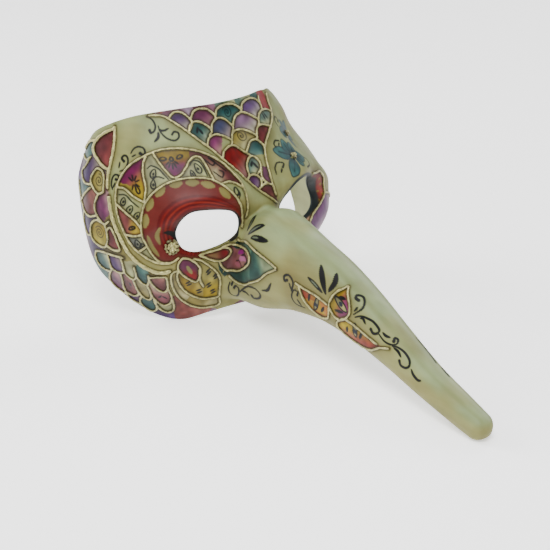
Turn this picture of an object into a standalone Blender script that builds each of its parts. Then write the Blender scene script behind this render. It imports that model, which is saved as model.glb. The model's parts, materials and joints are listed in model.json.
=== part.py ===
"""Long-nosed half mask for carnival dress, with raised gold relief lines.

The mask is drawn in the frame it is worn in, in millimetres: it faces -Y, +X is the wearer's
left, z = 0 is the line through the eyes and y = 0 is just behind the temples.  Every part is
then scaled to metres and laid on the table, resting on the nose tip and both cheeks.
"""
import math

import bmesh
import bpy
import numpy as np
from mathutils import Vector
from mathutils.bvhtree import BVHTree

MM = 0.001                      # metres in a millimetre

# ---- driving sizes, millimetres and degrees -------------------------------------------
WALL = 2.2                      # thickness of the moulded shell
JOINT_GAP = 0.4                 # glue line between face and nose
BEAD_CLEARANCE = 0.35           # glue line between shell and relief
BEAD_WIDTH = 1.9                # relief line, across its foot
BEAD_CROWN = 1.0                # relief line, across its top
BEAD_HEIGHT = 1.15
BEAD_STEP = 4.6                 # spacing of points along a relief line
LIFT_PASSES = 4                 # rounds of raising a line until it clears the surface
REST_PITCH = 4.616              # how far the mask leans back on the table
# from the worn frame to the middle of the footprint, on the table
REST_SHIFT = (1.068, 131.156, 61.268)

HOLE_WELD = 0.00008             # metres; doubled points nearer than this are joined
RELIEF_WELD = 0.000005

AROUND_FACE = 76                # faces around the face shell
FACE_RINGS = 15                 # rings between the rim and the nose root
FLARE_RINGS = 5                 # rings where the face turns into the nose
AROUND_NOSE = 38
NOSE_RINGS = 15
TIP_RINGS = 4
TIP_ROUND = 8.0                 # length of the rounded nose tip

# half width and front depth of the face at each height
HEIGHTS = [-72, -55, -38, -20, 0, 13, 24, 35, 48, 60, 72, 84]
HALF_WIDTH = [61, 69, 76, 81.5, 83.5, 83.5, 83, 80, 75, 69.5, 63, 57]
FRONT_DEPTH = [56, 64, 71, 76, 79, 80, 77, 69, 60, 51, 41, 31]

# nose sections: forward, height, up, down, half width, squareness
NOSE = np.array([
    (92, -22.8, 30.9, 34.4, 23.6, 2.3),
    (118, -26.4, 26.0, 23.5, 19.4, 2.5),
    (144, -29.6, 20.3, 18.8, 16.0, 2.7),
    (170, -37.6, 15.7, 15.0, 13.5, 2.8),
    (197, -49.2, 12.0, 11.5, 11.2, 2.8),
    (223, -60.9, 9.4, 9.2, 9.6, 2.8),
    (248, -70.2, 8.1, 8.0, 8.5, 2.8),
    (262, -75.2, 7.6, 7.4, 7.7, 2.6)])

# outlines on the face, as (degrees round from the middle, height)
CHART_CENTRE = (0.0, -24.0)
CHART_STRETCH = 1.4             # millimetres of face in a degree
NOSE_ROOT = [(0, 9), (8.5, 3.5), (13.6, -9), (18.5, -25), (22.5, -41), (21.5, -51.5), (10, -55.5), (0, -56)]
RIM_LEFT = [(0, 67), (18, 66.5), (34, 64.5), (48, 62), (57, 60.5), (64, 56), (82, 48), (93, 40), (95, 25),
            (94, 5), (90, -10), (84, -26), (75, -40), (66, -52), (55, -61.5), (42, -65), (27, -61),
            (14, -59), (0, -59)]
RIM_RIGHT = [(0, 67), (-18, 68), (-36, 68), (-54, 66.5), (-70, 62.5), (-84, 56), (-95, 45),
             (-99, 29), (-97, 8), (-93, -10), (-86, -26), (-77, -39), (-67, -52), (-55, -61.5),
             (-42, -65), (-27, -61), (-14, -59), (0, -59)]
EYE_RIGHT = [(-12, 3), (-16.5, 10), (-24.5, 13), (-32.5, 14), (-37, 9.5), (-40, 1), (-39.5, -5),
             (-37, -10.5), (-31.5, -13.8), (-23, -13), (-15.6, -9.8), (-12, -5)]
EYE_LEFT = [(10.5, 5), (12.5, 12), (18, 17), (26, 16.5), (33, 11.5), (38, 4), (39.5, -3), (37, -9),
            (31, -13), (23, -13), (15, -9.8), (11.5, -3)]
HOLE_REACH = 14                 # how far each way an eye hole's cutter runs
FLARE_PULL = 0.9                # how strongly the face leads into the nose, above and at the sides
FLARE_PULL_UNDER = 0.15         # and under it
NOSE_PULL = 1.3                 # how strongly the nose leads back into the face
LEFT_HOLLOW = 7.5               # how much flatter the left forehead is over the brow
LEFT_CORNER = 5.0               # and at its top corner
SIZE_STEP = 0.05                # relief lines differ this much in size, so none meet edge to edge
LIFT_STEP = 0.03                # and this much in height
SHARP = 40                      # degrees; edges sharper than this stay sharp


# ---- curves --------------------------------------------------------------------------


def smooth(low, high, x):
    """0 below low, 1 above high, eased between."""
    t = np.clip((x - low) / (high - low), 0, 1)
    return t * t * (3 - 2 * t)


def hump(x, centre, spread, power=2):
    """1 at the centre, falling away on both sides."""
    return np.exp(-np.abs((x - centre) / spread) ** power)


def curve(stations, values, x):
    """Smooth curve through (stations, values)."""
    xs = np.array(stations, float)
    ys = np.array(values, float)
    slope = np.gradient(ys, xs)
    i = np.clip(np.searchsorted(xs, x) - 1, 0, len(xs) - 2)
    h = xs[i + 1] - xs[i]
    t = np.clip((x - xs[i]) / h, 0, 1)
    return ((2 * t**3 - 3 * t**2 + 1) * ys[i] + (t**3 - 2 * t**2 + t) * h * slope[i]
            + (-2 * t**3 + 3 * t**2) * ys[i + 1] + (t**3 - t**2) * h * slope[i + 1])


def spline(points, closed, per_span):
    """Catmull-Rom curve through points of any dimension."""
    p = np.array(points, float)
    if closed:
        p = np.vstack([p[-1:], p, p[:2]])
    else:
        p = np.vstack([2 * p[0] - p[1], p, 2 * p[-1] - p[-2]])
    out = []
    for a, b, c, d in zip(p, p[1:], p[2:], p[3:]):
        for t in np.arange(per_span) / per_span:
            out.append(0.5 * (2 * b + (c - a) * t + (2 * a - 5 * b + 4 * c - d) * t * t
                              + (3 * b - a - 3 * c + d) * t**3))
    if not closed:
        out.append(p[-2])
    return np.array(out)


# ---- the outer surface ----------------------------------------------------------------


def swell(turn, z):
    """How far the face stands outside a plain ellipse: brow, socket, cheek and temple."""
    side = np.abs(turn)
    ridge = 17 - 0.018 * (side - 24) ** 2
    brow = 7.5 * np.exp(-((z - ridge) / np.where(z > ridge, 13, 8)) ** 2) * hump(side, 31, 23, 4)
    frown = -5 * hump(side, 0, 6) * smooth(6, 24, z) * (1 - smooth(50, 72, z))
    socket = -11 * hump(side, 27, 15) * hump(z, 1, 14)
    cheek = 10 * hump(side, 52, 22) * hump(z, -18, 22)
    temple = 2.5 * hump(side, 62, 16) * hump(z, 8, 14)
    curl = -7 * smooth(80, 100, side)
    hollow = -LEFT_HOLLOW * smooth(16, 44, turn) * hump(z, 33, 21)
    corner = -LEFT_CORNER * smooth(14, 40, turn) * smooth(42, 63, z)
    return brow + frown + socket + cheek + temple + curl + hollow + corner


def face(turn, z):
    """Point on the face, turn degrees round from the middle at height z."""
    t = np.radians(turn)
    narrower_left = 1 - 0.05 * smooth(20, 60, z) * smooth(0, 60, turn)
    a = curve(HEIGHTS, HALF_WIDTH, z) * narrower_left
    b = curve(HEIGHTS, FRONT_DEPTH, z)
    w = swell(turn, z)
    return np.stack([(a + w) * np.sin(t), -(b + w) * np.cos(t), z + 0 * t], -1)


def nose_row(s):
    """Section sizes at s (0 root, 1 last section) and the direction of the nose there."""
    at = np.linspace(0, 1, len(NOSE))
    row = np.stack([curve(at, NOSE[:, k], s) for k in range(NOSE.shape[1])], -1)
    step = 1e-3
    ahead = np.stack([curve(at, NOSE[:, k], np.clip(s + step, 0, 1)) for k in range(2)], -1)
    behind = np.stack([curve(at, NOSE[:, k], np.clip(s - step, 0, 1)) for k in range(2)], -1)
    along = ahead - behind
    return row, along / np.linalg.norm(along, axis=-1, keepdims=True)


def nose(s, phi):
    """Point on the nose: s runs 0..1 to the last section, 1..2 round the tip; phi 0 is on top."""
    row, along = nose_row(np.clip(s, 0, 1))
    over = np.clip(s - 1, 0, 1) * math.pi / 2
    shrink = np.cos(over)
    reach = np.sin(over) * TIP_ROUND
    p = np.radians(phi)
    power = 2 / row[..., 5]
    up = np.sign(np.cos(p)) * np.abs(np.cos(p)) ** power
    out = np.sign(np.sin(p)) * np.abs(np.sin(p)) ** power
    rise = np.where(up > 0, row[..., 2], row[..., 3]) * up * shrink
    forward = row[..., 0] + along[..., 0] * reach - along[..., 1] * rise
    height = row[..., 1] + along[..., 1] * reach + along[..., 0] * rise
    return np.stack([row[..., 4] * out * shrink, -forward, height], -1)


def reach_table(loop):
    """Distance from the chart centre to a closed outline, by direction."""
    d = (loop - CHART_CENTRE) * (CHART_STRETCH, 1)
    direction = np.degrees(np.arctan2(d[:, 0], d[:, 1])) % 360
    order = np.argsort(direction)
    a = direction[order]
    r = np.hypot(d[:, 0], d[:, 1])[order]
    return np.concatenate([a[-1:] - 360, a, a[:1] + 360]), np.concatenate([r[-1:], r, r[:1]])


def mirrored(half):
    """Half an outline and its mirror image, as one closed outline."""
    return half + [(-turn, z) for turn, z in half[-2:0:-1]]


ROOT_REACH = reach_table(spline(mirrored(NOSE_ROOT), True, 24))
RIM_REACH = reach_table(spline(RIM_LEFT + RIM_RIGHT[-2:0:-1], True, 24))


def chart(phi, share):
    """Place on the face in direction phi: share 0 is the nose root, 1 is the rim."""
    p = phi % 360
    inner = np.interp(p, *ROOT_REACH)
    outer = np.interp(p, *RIM_REACH)
    r = inner + (outer - inner) * share
    t = np.radians(p)
    return CHART_CENTRE[0] + r * np.sin(t) / CHART_STRETCH, CHART_CENTRE[1] + r * np.cos(t)


def skin(u, phi):
    """Outer surface: u 0..1 rim to nose root, 1..2 flare, 2..3 nose, 3..4 tip."""
    u, phi = np.broadcast_arrays(np.asarray(u, float), np.asarray(phi, float))
    out = np.zeros(u.shape + (3,))
    on_face = u <= 1
    out[on_face] = face(*chart(phi[on_face], 1 - u[on_face]))
    on_nose = u >= 2
    out[on_nose] = nose(u[on_nose] - 2, phi[on_nose])
    flare = ~(on_face | on_nose)
    if flare.any():
        p = phi[flare]
        t = (u[flare] - 1)[:, None]
        none = np.zeros(len(p))
        small = none + 0.02
        start = face(*chart(p, none))
        leave = start - face(*chart(p, small))
        leave /= np.linalg.norm(leave, axis=-1, keepdims=True)
        end = nose(none, p)
        arrive = nose(small, p) - end
        arrive /= np.linalg.norm(arrive, axis=-1, keepdims=True)
        span = np.linalg.norm(end - start, axis=-1, keepdims=True)
        under = smooth(130, 165, np.abs((p + 180) % 360 - 180))[:, None]
        pull = FLARE_PULL - (FLARE_PULL - FLARE_PULL_UNDER) * under
        out[flare] = ((2 * t**3 - 3 * t**2 + 1) * start + (t**3 - 2 * t**2 + t) * leave * span * pull
                      + (-2 * t**3 + 3 * t**2) * end + (t**3 - t**2) * arrive * span * NOSE_PULL)
    return out


# ---- objects --------------------------------------------------------------------------

for old in list(bpy.data.objects):
    bpy.data.objects.remove(old, do_unlink=True)


def material(name, colour, roughness, metallic):
    made = bpy.data.materials.new(name)
    made.use_nodes = True
    shader = made.node_tree.nodes["Principled BSDF"]
    shader.inputs["Base Color"].default_value = (*colour, 1)
    shader.inputs["Roughness"].default_value = roughness
    shader.inputs["Metallic"].default_value = metallic
    made.diffuse_color = (*colour, 1)
    return made


CREAM = (0.50, 0.52, 0.32)
GOLD = (0.62, 0.55, 0.26)
TAPE = (0.62, 0.60, 0.50)


def add_object(name, points, faces, colour, roughness, metallic):
    """New object from points in the worn frame, millimetres."""
    mesh = bpy.data.meshes.new(name)
    mesh.from_pydata([tuple(p) for p in np.asarray(points) * MM], [], faces)
    mesh.materials.append(material(name, colour, roughness, metallic))
    made = bpy.data.objects.new(name, mesh)
    bpy.context.collection.objects.link(made)
    return made


def face_outward(obj):
    shape = bmesh.new()
    shape.from_mesh(obj.data)
    bmesh.ops.recalc_face_normals(shape, faces=shape.faces)
    shape.to_mesh(obj.data)
    shape.free()


def outward(u, phi):
    """Outward direction of the skin."""
    step = 1e-3
    turn = 0.1
    u = np.asarray(u, float)
    along = skin(np.minimum(u + step, 4), phi) - skin(np.maximum(u - step, 0), phi)
    around = skin(u, phi + turn) - skin(u, phi - turn)
    n = np.cross(along, around)
    return n / np.linalg.norm(n, axis=-1, keepdims=True)


def ring(u, around):
    return skin(np.full(around, float(u)), np.arange(around) * 360.0 / around)


def inner_ring(u, around, square_end):
    """The ring a wall thickness inside; square_end keeps it in the plane of the glued joint."""
    n = outward(np.full(around, float(u)), np.arange(around) * 360.0 / around)
    if square_end:
        _, along = nose_row(np.array(0.0))
        axis = np.array([0, -along[0], along[1]])
        n -= (n @ axis)[:, None] * axis
        n /= np.linalg.norm(n, axis=1, keepdims=True)
    return ring(u, around) - n * WALL


def strip(first, second, count):
    """Faces between two rings that start at these point numbers."""
    faces = []
    for j in range(count):
        k = (j + 1) % count
        faces.append((first + k, first + j, second + j, second + k))
    return faces


def wall(name, steps, around, joint_at_start):
    """Closed shell from the rings at steps; the nose also gets its rounded end."""
    rings = [ring(u, around) for u in steps]
    joint = 0 if joint_at_start else len(steps) - 1
    inner = [inner_ring(u, around, i == joint) for i, u in enumerate(steps)]
    count = len(rings)
    faces = []
    for i in range(count - 1):
        faces += strip(i * around, (i + 1) * around, around)
        faces += strip((count + i + 1) * around, (count + i) * around, around)
    faces += strip(count * around, 0, around)
    points = np.vstack(rings + inner)
    last_outer = (count - 1) * around
    last_inner = (2 * count - 1) * around
    if joint_at_start:
        tip = skin(np.array([4.0]), np.array([0.0]))[0]
        back = rings[-1].mean(0) - tip
        back /= np.linalg.norm(back)
        points = np.vstack([points, [tip, tip + back * WALL]])
        for j in range(around):
            k = (j + 1) % around
            faces.append((last_outer + k, last_outer + j, len(points) - 2))
            faces.append((last_inner + j, last_inner + k, len(points) - 1))
    else:
        faces += strip(last_outer, last_inner, around)
    made = add_object(name, points, faces, CREAM, 0.55, 0.0)
    face_outward(made)
    outer = [v.co / MM for v in made.data.vertices[:count * around]]
    quads = [q for i in range(count - 1) for q in strip(i * around, (i + 1) * around, around)]
    return made, outer, quads


face_steps = list(np.linspace(0, 1, FACE_RINGS + 1)) + list(np.linspace(1, 2, FLARE_RINGS + 1)[1:])
face_shell, face_points, face_quads = wall("face_shell", face_steps, AROUND_FACE, False)

nose_length = NOSE[-1, 0] - NOSE[0, 0]
nose_start = 2 + JOINT_GAP / nose_length
nose_steps = list(np.linspace(nose_start, 3, NOSE_RINGS)) + list(np.linspace(3, 4, TIP_RINGS + 1)[1:-1])
nose_shell, nose_points, nose_quads = wall("nose_shell", nose_steps, AROUND_NOSE, True)

# nearest-point search over both outer surfaces
SURFACE = BVHTree.FromPolygons(
    face_points + nose_points,
    face_quads + [tuple(i + len(face_points) for i in q) for q in nose_quads])


def outward_at(point):
    """Nearest surface point and its outward direction."""
    spot, normal, _, _ = SURFACE.find_nearest(Vector(point))
    return np.array(spot), np.array(normal)


# ---- eye holes ------------------------------------------------------------------------


def cut_eye(outline):
    """Cut one eye hole square to the face."""
    loop = spline(outline, True, 3)
    rim = face(loop[:, 0], loop[:, 1])
    centre = rim.mean(0)
    away = centre / np.linalg.norm(centre * (1, 1, 0)) * (1, 1, 0)
    front = rim + away * HOLE_REACH
    back = rim - away * HOLE_REACH
    count = len(rim)
    points = np.vstack([front, back])
    faces = [tuple(range(count)), tuple(range(2 * count - 1, count - 1, -1))]
    for j in range(count):
        k = (j + 1) % count
        faces.append((j, count + j, count + k, k))
    cutter = add_object("eye_cutter", points, faces, CREAM, 0.5, 0)
    shape = bmesh.new()
    shape.from_mesh(cutter.data)
    bmesh.ops.triangulate(shape, faces=shape.faces)
    bmesh.ops.recalc_face_normals(shape, faces=shape.faces)
    shape.to_mesh(cutter.data)
    shape.free()
    cutter.hide_render = True
    cutter.display_type = "WIRE"
    cut = face_shell.modifiers.new("eye_hole", "BOOLEAN")
    cut.operation = "DIFFERENCE"
    cut.solver = "EXACT"
    cut.object = cutter
    return cutter


def freeze(obj, cutters, weld):
    """Keep the finished shape of obj, drop its cutters and weld what the cuts left doubled."""
    bpy.context.view_layer.update()
    done = obj.evaluated_get(bpy.context.evaluated_depsgraph_get())
    mesh = bpy.data.meshes.new_from_object(done)
    obj.modifiers.clear()
    obj.data = mesh
    for cutter in cutters:
        bpy.data.objects.remove(cutter, do_unlink=True)
    shape = bmesh.new()
    shape.from_mesh(mesh)
    bmesh.ops.remove_doubles(shape, verts=shape.verts, dist=weld)
    bmesh.ops.dissolve_degenerate(shape, edges=shape.edges, dist=weld / 2)
    bmesh.ops.recalc_face_normals(shape, faces=shape.faces)
    shape.to_mesh(mesh)
    shape.free()


freeze(face_shell, [cut_eye(EYE_RIGHT), cut_eye(EYE_LEFT)], HOLE_WELD)

# ---- relief lines ---------------------------------------------------------------------


def on_face(*places):
    """Places read as (degrees round, height)."""
    return [tuple(face(np.array(float(t)), np.array(float(z)))) for t, z in places]


def on_nose(*places):
    """Places read as (skin step from the nose root outward, degrees round the nose)."""
    return [tuple(skin(np.array([u]), np.array([p]))[0]) for u, p in places]


def height_above(point):
    """Height of a point over the surface."""
    spot, up = outward_at(point)
    return float(np.dot(np.asarray(point) - spot, up))


def evenly(line, closed, step):
    """Points along a line at about the given spacing."""
    if closed:
        line = np.vstack([line, line[:1]])
    run = np.concatenate([[0], np.cumsum(np.linalg.norm(np.diff(line, axis=0), axis=1))])
    count = max(2, int(round(run[-1] / step)))
    at = np.linspace(0, run[-1], count + 1)
    even = np.stack([np.interp(at, run, line[:, k]) for k in range(3)], -1)
    return even[:-1] if closed else even


def bead(route, closed, scale, lift):
    """Points and faces of one relief line laid over the surface."""
    line = evenly(spline(route, closed, 6), closed, BEAD_STEP)
    laid = [outward_at(p) for p in line]
    foot = np.array([spot for spot, _ in laid])
    up = np.array([normal for _, normal in laid])
    if closed:
        ahead = np.roll(foot, -1, 0) - np.roll(foot, 1, 0)
    else:
        ahead = np.gradient(foot, axis=0)
    ahead /= np.linalg.norm(ahead, axis=1, keepdims=True)
    across = np.cross(ahead, up)
    across /= np.linalg.norm(across, axis=1, keepdims=True)
    half_foot = BEAD_WIDTH / 2 * scale
    height = np.full(len(foot), BEAD_CLEARANCE + lift)
    count = len(foot)
    for _ in range(LIFT_PASSES):
        left = foot + up * height[:, None] - across * half_foot
        right = foot + up * height[:, None] + across * half_foot
        for i in range(count if closed else count - 1):
            n = (i + 1) % count
            for edge in (left, right):
                for share in (0.0, 0.25, 0.5, 0.75, 1.0):
                    room = height_above(edge[i] * (1 - share) + edge[n] * share)
                    if room < BEAD_CLEARANCE:
                        height[i] += (BEAD_CLEARANCE - room) * 0.5 * (1.2 - share)
                        height[n] += (BEAD_CLEARANCE - room) * 0.5 * (0.2 + share)
    base = foot + up * height[:, None]
    top = base + up * BEAD_HEIGHT * scale
    half_top = BEAD_CROWN / 2 * scale
    sections = np.stack([base - across * half_foot, base + across * half_foot,
                         top + across * half_top, top - across * half_top], 1)
    corners = 4
    faces = []
    for i in range(count if closed else count - 1):
        for j in range(corners):
            k = (j + 1) % corners
            n = (i + 1) % count
            faces.append((i * corners + j, i * corners + k, n * corners + k, n * corners + j))
    if not closed:
        faces.append(tuple(range(corners)))
        faces.append(tuple((count - 1) * corners + j for j in reversed(range(corners))))
    return sections.reshape(-1, 3), faces


def relief(name, lines, loops=()):
    """One connected relief: every line and loop laid on the surface and joined together."""
    strokes = []
    for number, (route, closed) in enumerate([(r, False) for r in lines] + [(r, True) for r in loops]):
        size = 1 + SIZE_STEP * (number % 3)
        points, faces = bead(route, closed, size, LIFT_STEP * (number % 4))
        stroke = add_object(name if number == 0 else name + "_line", points, faces, GOLD, 0.4, 0.6)
        face_outward(stroke)
        strokes.append(stroke)
    whole = strokes[0]
    for stroke in strokes[1:]:
        stroke.hide_render = True
        stroke.display_type = "WIRE"
        join = whole.modifiers.new("join", "BOOLEAN")
        join.operation = "UNION"
        join.solver = "EXACT"
        join.object = stroke
    if strokes[1:]:
        freeze(whole, strokes[1:], RELIEF_WELD)
    return whole


# wedge of fish scales over the forehead, between its two borders
relief("forehead_scale_relief", [
    on_face((-46, 66.4), (-38, 65.6), (-33, 62.5), (-27, 57), (-21, 50), (-17, 45), (-14, 40),
            (-11, 35), (-8, 29.5), (-6.5, 26), (-2.2, 19.4), (1.4, 14.6), (4, 11), (6.6, 7.4)),
    on_face((45, 60.4), (40, 57.6), (33.6, 53.4), (25, 49.8), (16.8, 45.4), (10.6, 39.6), (7.8, 32.5),
            (6.4, 25.6), (5.9, 19.5), (6, 12.5)),
    on_face((-34.5, 63.8), (-31, 66.6), (-27, 66.2), (-24, 63.5), (-22.5, 60), (-25.5, 55.5)),
    on_face((-23, 61.5), (-20, 65.4), (-16, 66.4), (-11.5, 65), (-9, 61), (-11, 58.5)),
    on_face((-9, 61), (-6, 64.4), (0, 65.4), (5, 64.2), (7.5, 60.5), (4.5, 58.5)),
    on_face((7.5, 60.5), (10, 63.6), (15, 64.8), (20.5, 63.6), (23.5, 60), (21.5, 56.5)),
    on_face((23.5, 60), (25.4, 62), (28, 63.2)),
    on_face((-25.5, 55.5), (-24, 58.8), (-20.5, 60.5), (-16.5, 58.5), (-13.8, 54.5), (-16, 51.8)),
    on_face((-13.8, 54.5), (-12, 58), (-8, 59.8), (-3.5, 57.5), (0, 52.5), (-2, 49.8)),
    on_face((0, 52.5), (3, 57.5), (7, 59.4), (11, 57), (14.2, 53), (12.5, 50.5)),
    on_face((14.2, 53), (17, 55.8), (21.5, 56.6), (27, 55.4), (31, 52.6)),
    on_face((-18.5, 47), (-16.5, 50.8), (-12.5, 52), (-8.5, 50), (-5, 46.3), (-6.5, 44.4)),
    on_face((-5, 46.3), (-2, 49.5), (2.5, 50.4), (6, 49), (8.8, 45.5), (7.5, 43.8)),
    on_face((8.8, 45.5), (11, 49.4), (14.5, 50.4), (20, 47.6)),
    on_face((-13.5, 38.6), (-11.5, 42.6), (-7.5, 44.4), (-3.5, 42.6), (1, 37.5), (2.6, 35.9)),
    on_face((1, 37.5), (3, 40.5), (5, 43.4), (7.8, 43.8), (9.8, 40), (9.2, 36.5)),
    on_face((-3.4, 26.4), (-2.4, 30.8), (0.6, 34.2), (3, 35.4), (4.6, 33), (4.2, 29), (1.6, 25.6)),
    on_face((4.4, 29.4), (3.4, 26.5), (3, 23.4), (3.8, 20.8), (5.7, 18.8)),
    on_face((-6, 25.4), (-2.4, 26.4), (1, 25.3), (2.2, 22), (0.8, 18.6), (-0.8, 17.9)),
    on_face((0.8, 18.4), (2.8, 19.8), (4.6, 19.8)),
])

# line down the temple with the tall teardrop beside it
relief("temple_line_relief", [
    on_face((-67.5, 61), (-66.6, 55), (-66.8, 48), (-68, 40), (-69.2, 33), (-69.3, 26.4)),
    on_face((-94, 43.4), (-91.5, 46.4), (-87.6, 49.6), (-83.4, 51.4), (-79.4, 51.8)),
    on_face((-67.4, 59.6), (-73, 57.5), (-78, 54), (-80.8, 49.5), (-80, 45.5), (-76.5, 42),
            (-72.5, 38.6), (-68.6, 37)),
])

# scales down the temple and round the cheek
relief("temple_scale_relief", [
    on_face((-96, 40), (-90, 39.5), (-85, 40), (-81.5, 42.6)),
    on_face((-82.5, 41.2), (-86, 36), (-90.5, 31.5), (-85, 27), (-79.4, 27)),
    on_face((-71.6, 24.5), (-71.8, 34), (-75.5, 37), (-78.6, 33.5), (-79.6, 29), (-77.5, 25),
            (-74.5, 22.7), (-71.4, 24.4)),
    on_face((-79.2, 25.6), (-84, 20.5), (-90, 14), (-95.5, 10)),
    on_face((-96, 24), (-90.5, 14.5)),
    on_face((-90.5, 13.6), (-86, 8.6), (-81, 7), (-76, 9)),
    on_face((-74.5, 22.7), (-76.6, 17.5), (-77, 13), (-75, 8), (-71, 5), (-68.6, 7.6)),
    on_face((-86, 8.6), (-88.5, 2), (-85, -6), (-80.6, -5)),
    on_face((-72, 5.4), (-76, 6.2), (-79.6, 3), (-81, -2.5), (-80, -7.6), (-76, -10.2), (-71.5, -10),
            (-69.6, -4.5), (-70, 1.5), (-71, 5)),
    on_face((-70, 1.2), (-68, 3.8), (-66, 1), (-64, -5), (-63, -9), (-66, -10.2), (-70.4, -8.6)),
])
relief("cheek_scale_relief", [
    on_face((-78.6, -14.6), (-80.2, -19), (-79.5, -25), (-75, -27.5), (-71, -26), (-70.4, -19),
            (-70.6, -13.8)),
    on_face((-79, -15), (-75, -14), (-70, -13.8), (-66, -13.8), (-61.4, -13.8)),
    on_face((-70.6, -21), (-69.5, -24.5), (-66.5, -26), (-63, -24.5), (-62.4, -19), (-62.8, -13.8)),
    on_face((-62.4, -18), (-62.6, -25), (-59.8, -29.5), (-57.4, -26), (-57, -19)),
    on_face((-57.5, -26), (-56.6, -31), (-54.4, -33.6), (-52.4, -29), (-51.9, -24.8)),
    on_face((-71.6, -26.4), (-75, -32), (-76.2, -37), (-73.5, -42), (-69.5, -44), (-68.4, -38),
            (-66.5, -31.5), (-65.5, -26)),
    on_face((-67.4, -34), (-69, -42), (-65, -45.4), (-61.4, -43), (-60.6, -36), (-59.9, -29.6)),
    on_face((-60.8, -38), (-60, -45), (-56.6, -47.2), (-54.6, -42), (-54.4, -33.6)),
    on_face((-52.2, -29), (-51.4, -35), (-48.4, -40), (-45.8, -37), (-44.9, -30), (-45, -26.6)),
    on_face((-52, -27), (-48.5, -26.2), (-45, -26.6)),
    on_face((-54.5, -38), (-54.4, -45), (-52.5, -50), (-49.4, -52), (-46.2, -49.5), (-45, -44),
            (-45.6, -37.2)),
    on_face((-54.6, -47), (-53.6, -54), (-50.5, -58), (-47, -57.6), (-45.2, -54), (-45, -46)),
    on_face((-60.2, -44.6), (-63, -50), (-61.8, -55), (-58, -58), (-54.6, -55), (-54.6, -49)),
    on_face((-68.6, -43.6), (-69.2, -47), (-66, -51), (-62.4, -52.6)),
])

# carved ridge outside the eye, and the ring of panels round it
relief("temple_ridge_relief", [
    on_face((-68.6, 22.5), (-67.6, 15), (-65.8, 7.5), (-63, 0), (-59.6, -7.5), (-55.6, -14.6),
            (-51, -20), (-46.6, -22.8), (-42.6, -22)),
])
relief("eye_ring_relief", [
    on_face((-12.8, 35.2), (-17.5, 41), (-23, 45), (-30, 47.6), (-38, 48.4), (-44, 47.6),
            (-49, 45.6), (-56, 41.6), (-61, 36), (-64.2, 29), (-65.2, 21), (-64.4, 13),
            (-62, 5.5), (-59, -1.5), (-55, -8), (-50.4, -13.6), (-46, -16.6), (-42, -17)),
    on_face((-39, -14.4), (-42, -16.6), (-46, -15.6), (-49, -11), (-51.2, -4), (-52.6, 3),
            (-53.3, 10), (-52.5, 17), (-50, 22.6), (-45.6, 27.4), (-40, 30.8), (-33, 32.3),
            (-27, 32), (-22, 30.4), (-18, 26.6), (-15.2, 21.5), (-13, 15), (-11.2, 8),
            (-10.2, 2), (-10.2, -3.5)),
    on_face((-48.6, 45.6), (-50.6, 41), (-51, 35), (-50.6, 28), (-52, 20)),
    on_face((-52, 20.4), (-56.5, 23.4), (-60.4, 27.4), (-64.4, 28)),
    on_face((-65, 18.6), (-60, 13.6), (-56, 9.8), (-53.2, 6)),
    on_face((-52.4, 2.5), (-56, 1), (-60.4, 1.2)),
    on_face((-54.4, -8.6), (-51, -5)),
    on_face((-45.6, 47.2), (-42.8, 41.6), (-40, 36.4), (-37.6, 33.2), (-34.2, 34), (-31, 37.6),
            (-28.6, 41), (-25.6, 42.8), (-23.2, 41.4), (-21.8, 36.6), (-21, 30)),
    on_face((-18.6, 27.6), (-14.6, 27.6), (-11.4, 25), (-9.6, 22), (-9.4, 14), (-8.9, 8),
            (-9, 3)),
    on_face((-13.6, 36.2), (-11.4, 31), (-9.8, 26), (-9.6, 21.4)),
])

# petals under the eye
relief("petal_cluster_relief", [
    on_face((-39.6, -20.6), (-40.6, -28), (-39.8, -36), (-37, -42.6), (-32, -47.6), (-27, -49.2),
            (-22.2, -48.6), (-21.6, -44), (-21.6, -36), (-23.2, -29.4), (-26.2, -24), (-29.9, -19),
            (-33.4, -16.8)),
    on_face((-31.2, -24.6), (-31, -33), (-29.6, -39)),
    on_face((-40, -22.6), (-42.6, -24.8), (-43.4, -32), (-43, -40), (-41, -47), (-37, -52.6),
            (-32, -55.6), (-26, -56.4), (-21.4, -55.2), (-21.6, -49.6)),
], loops=[
    on_face((-38, -15.6), (-39.8, -20), (-38.8, -25), (-36.2, -30), (-33, -33.6), (-31.2, -30),
            (-30.6, -25), (-32, -20.4), (-35, -16.6)),
])
relief("inner_petal_relief", [
    on_face((-20.4, -13.9), (-17.8, -12.9), (-15.4, -13)) + on_nose(
        (1.36, -65.5), (1.8, -72), (1.97, -79), (1.94, -88), (1.62, -97), (1.25, -101.5))
    + on_face((-18.6, -29.4), (-20.8, -26), (-22, -22)),
], loops=[
    on_face((-30.6, -15.8), (-27, -15.1), (-23, -14.8), (-19.5, -14.1), (-16.8, -15.3), (-16.6, -18.4),
            (-20, -21.8), (-24.6, -20.6), (-28.2, -17.6)),
])
relief("cheek_leaf_relief", [
    on_nose((1.25, -107.5), (1.42, -110.5), (1.62, -111.5), (1.85, -109), (2.0, -104), (2.04, -97),
            (2.075, -88), (2.115, -78.5)),
    on_nose((1.1, -52.5), (1.25, -56), (1.45, -59), (1.7, -62), (1.9, -65.5), (2.02, -69.5),
            (2.07, -73), (2.115, -77.5)),
])

# wearer's left eye
relief("left_eye_line_relief", [
    on_face((34.4, 14), (38, 12.6), (41, 12), (44.6, 6.5), (46.6, 0), (47, -5.6), (43.6, -8.8),
            (39, -11.6), (35, -14), (31.6, -17.6)),
    on_face((31.6, -17.6), (32.2, -24), (37, -31), (45, -36), (53, -38), (59, -34), (61, -26),
            (58, -17), (53, -10), (47, -5.6)),
])

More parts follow.
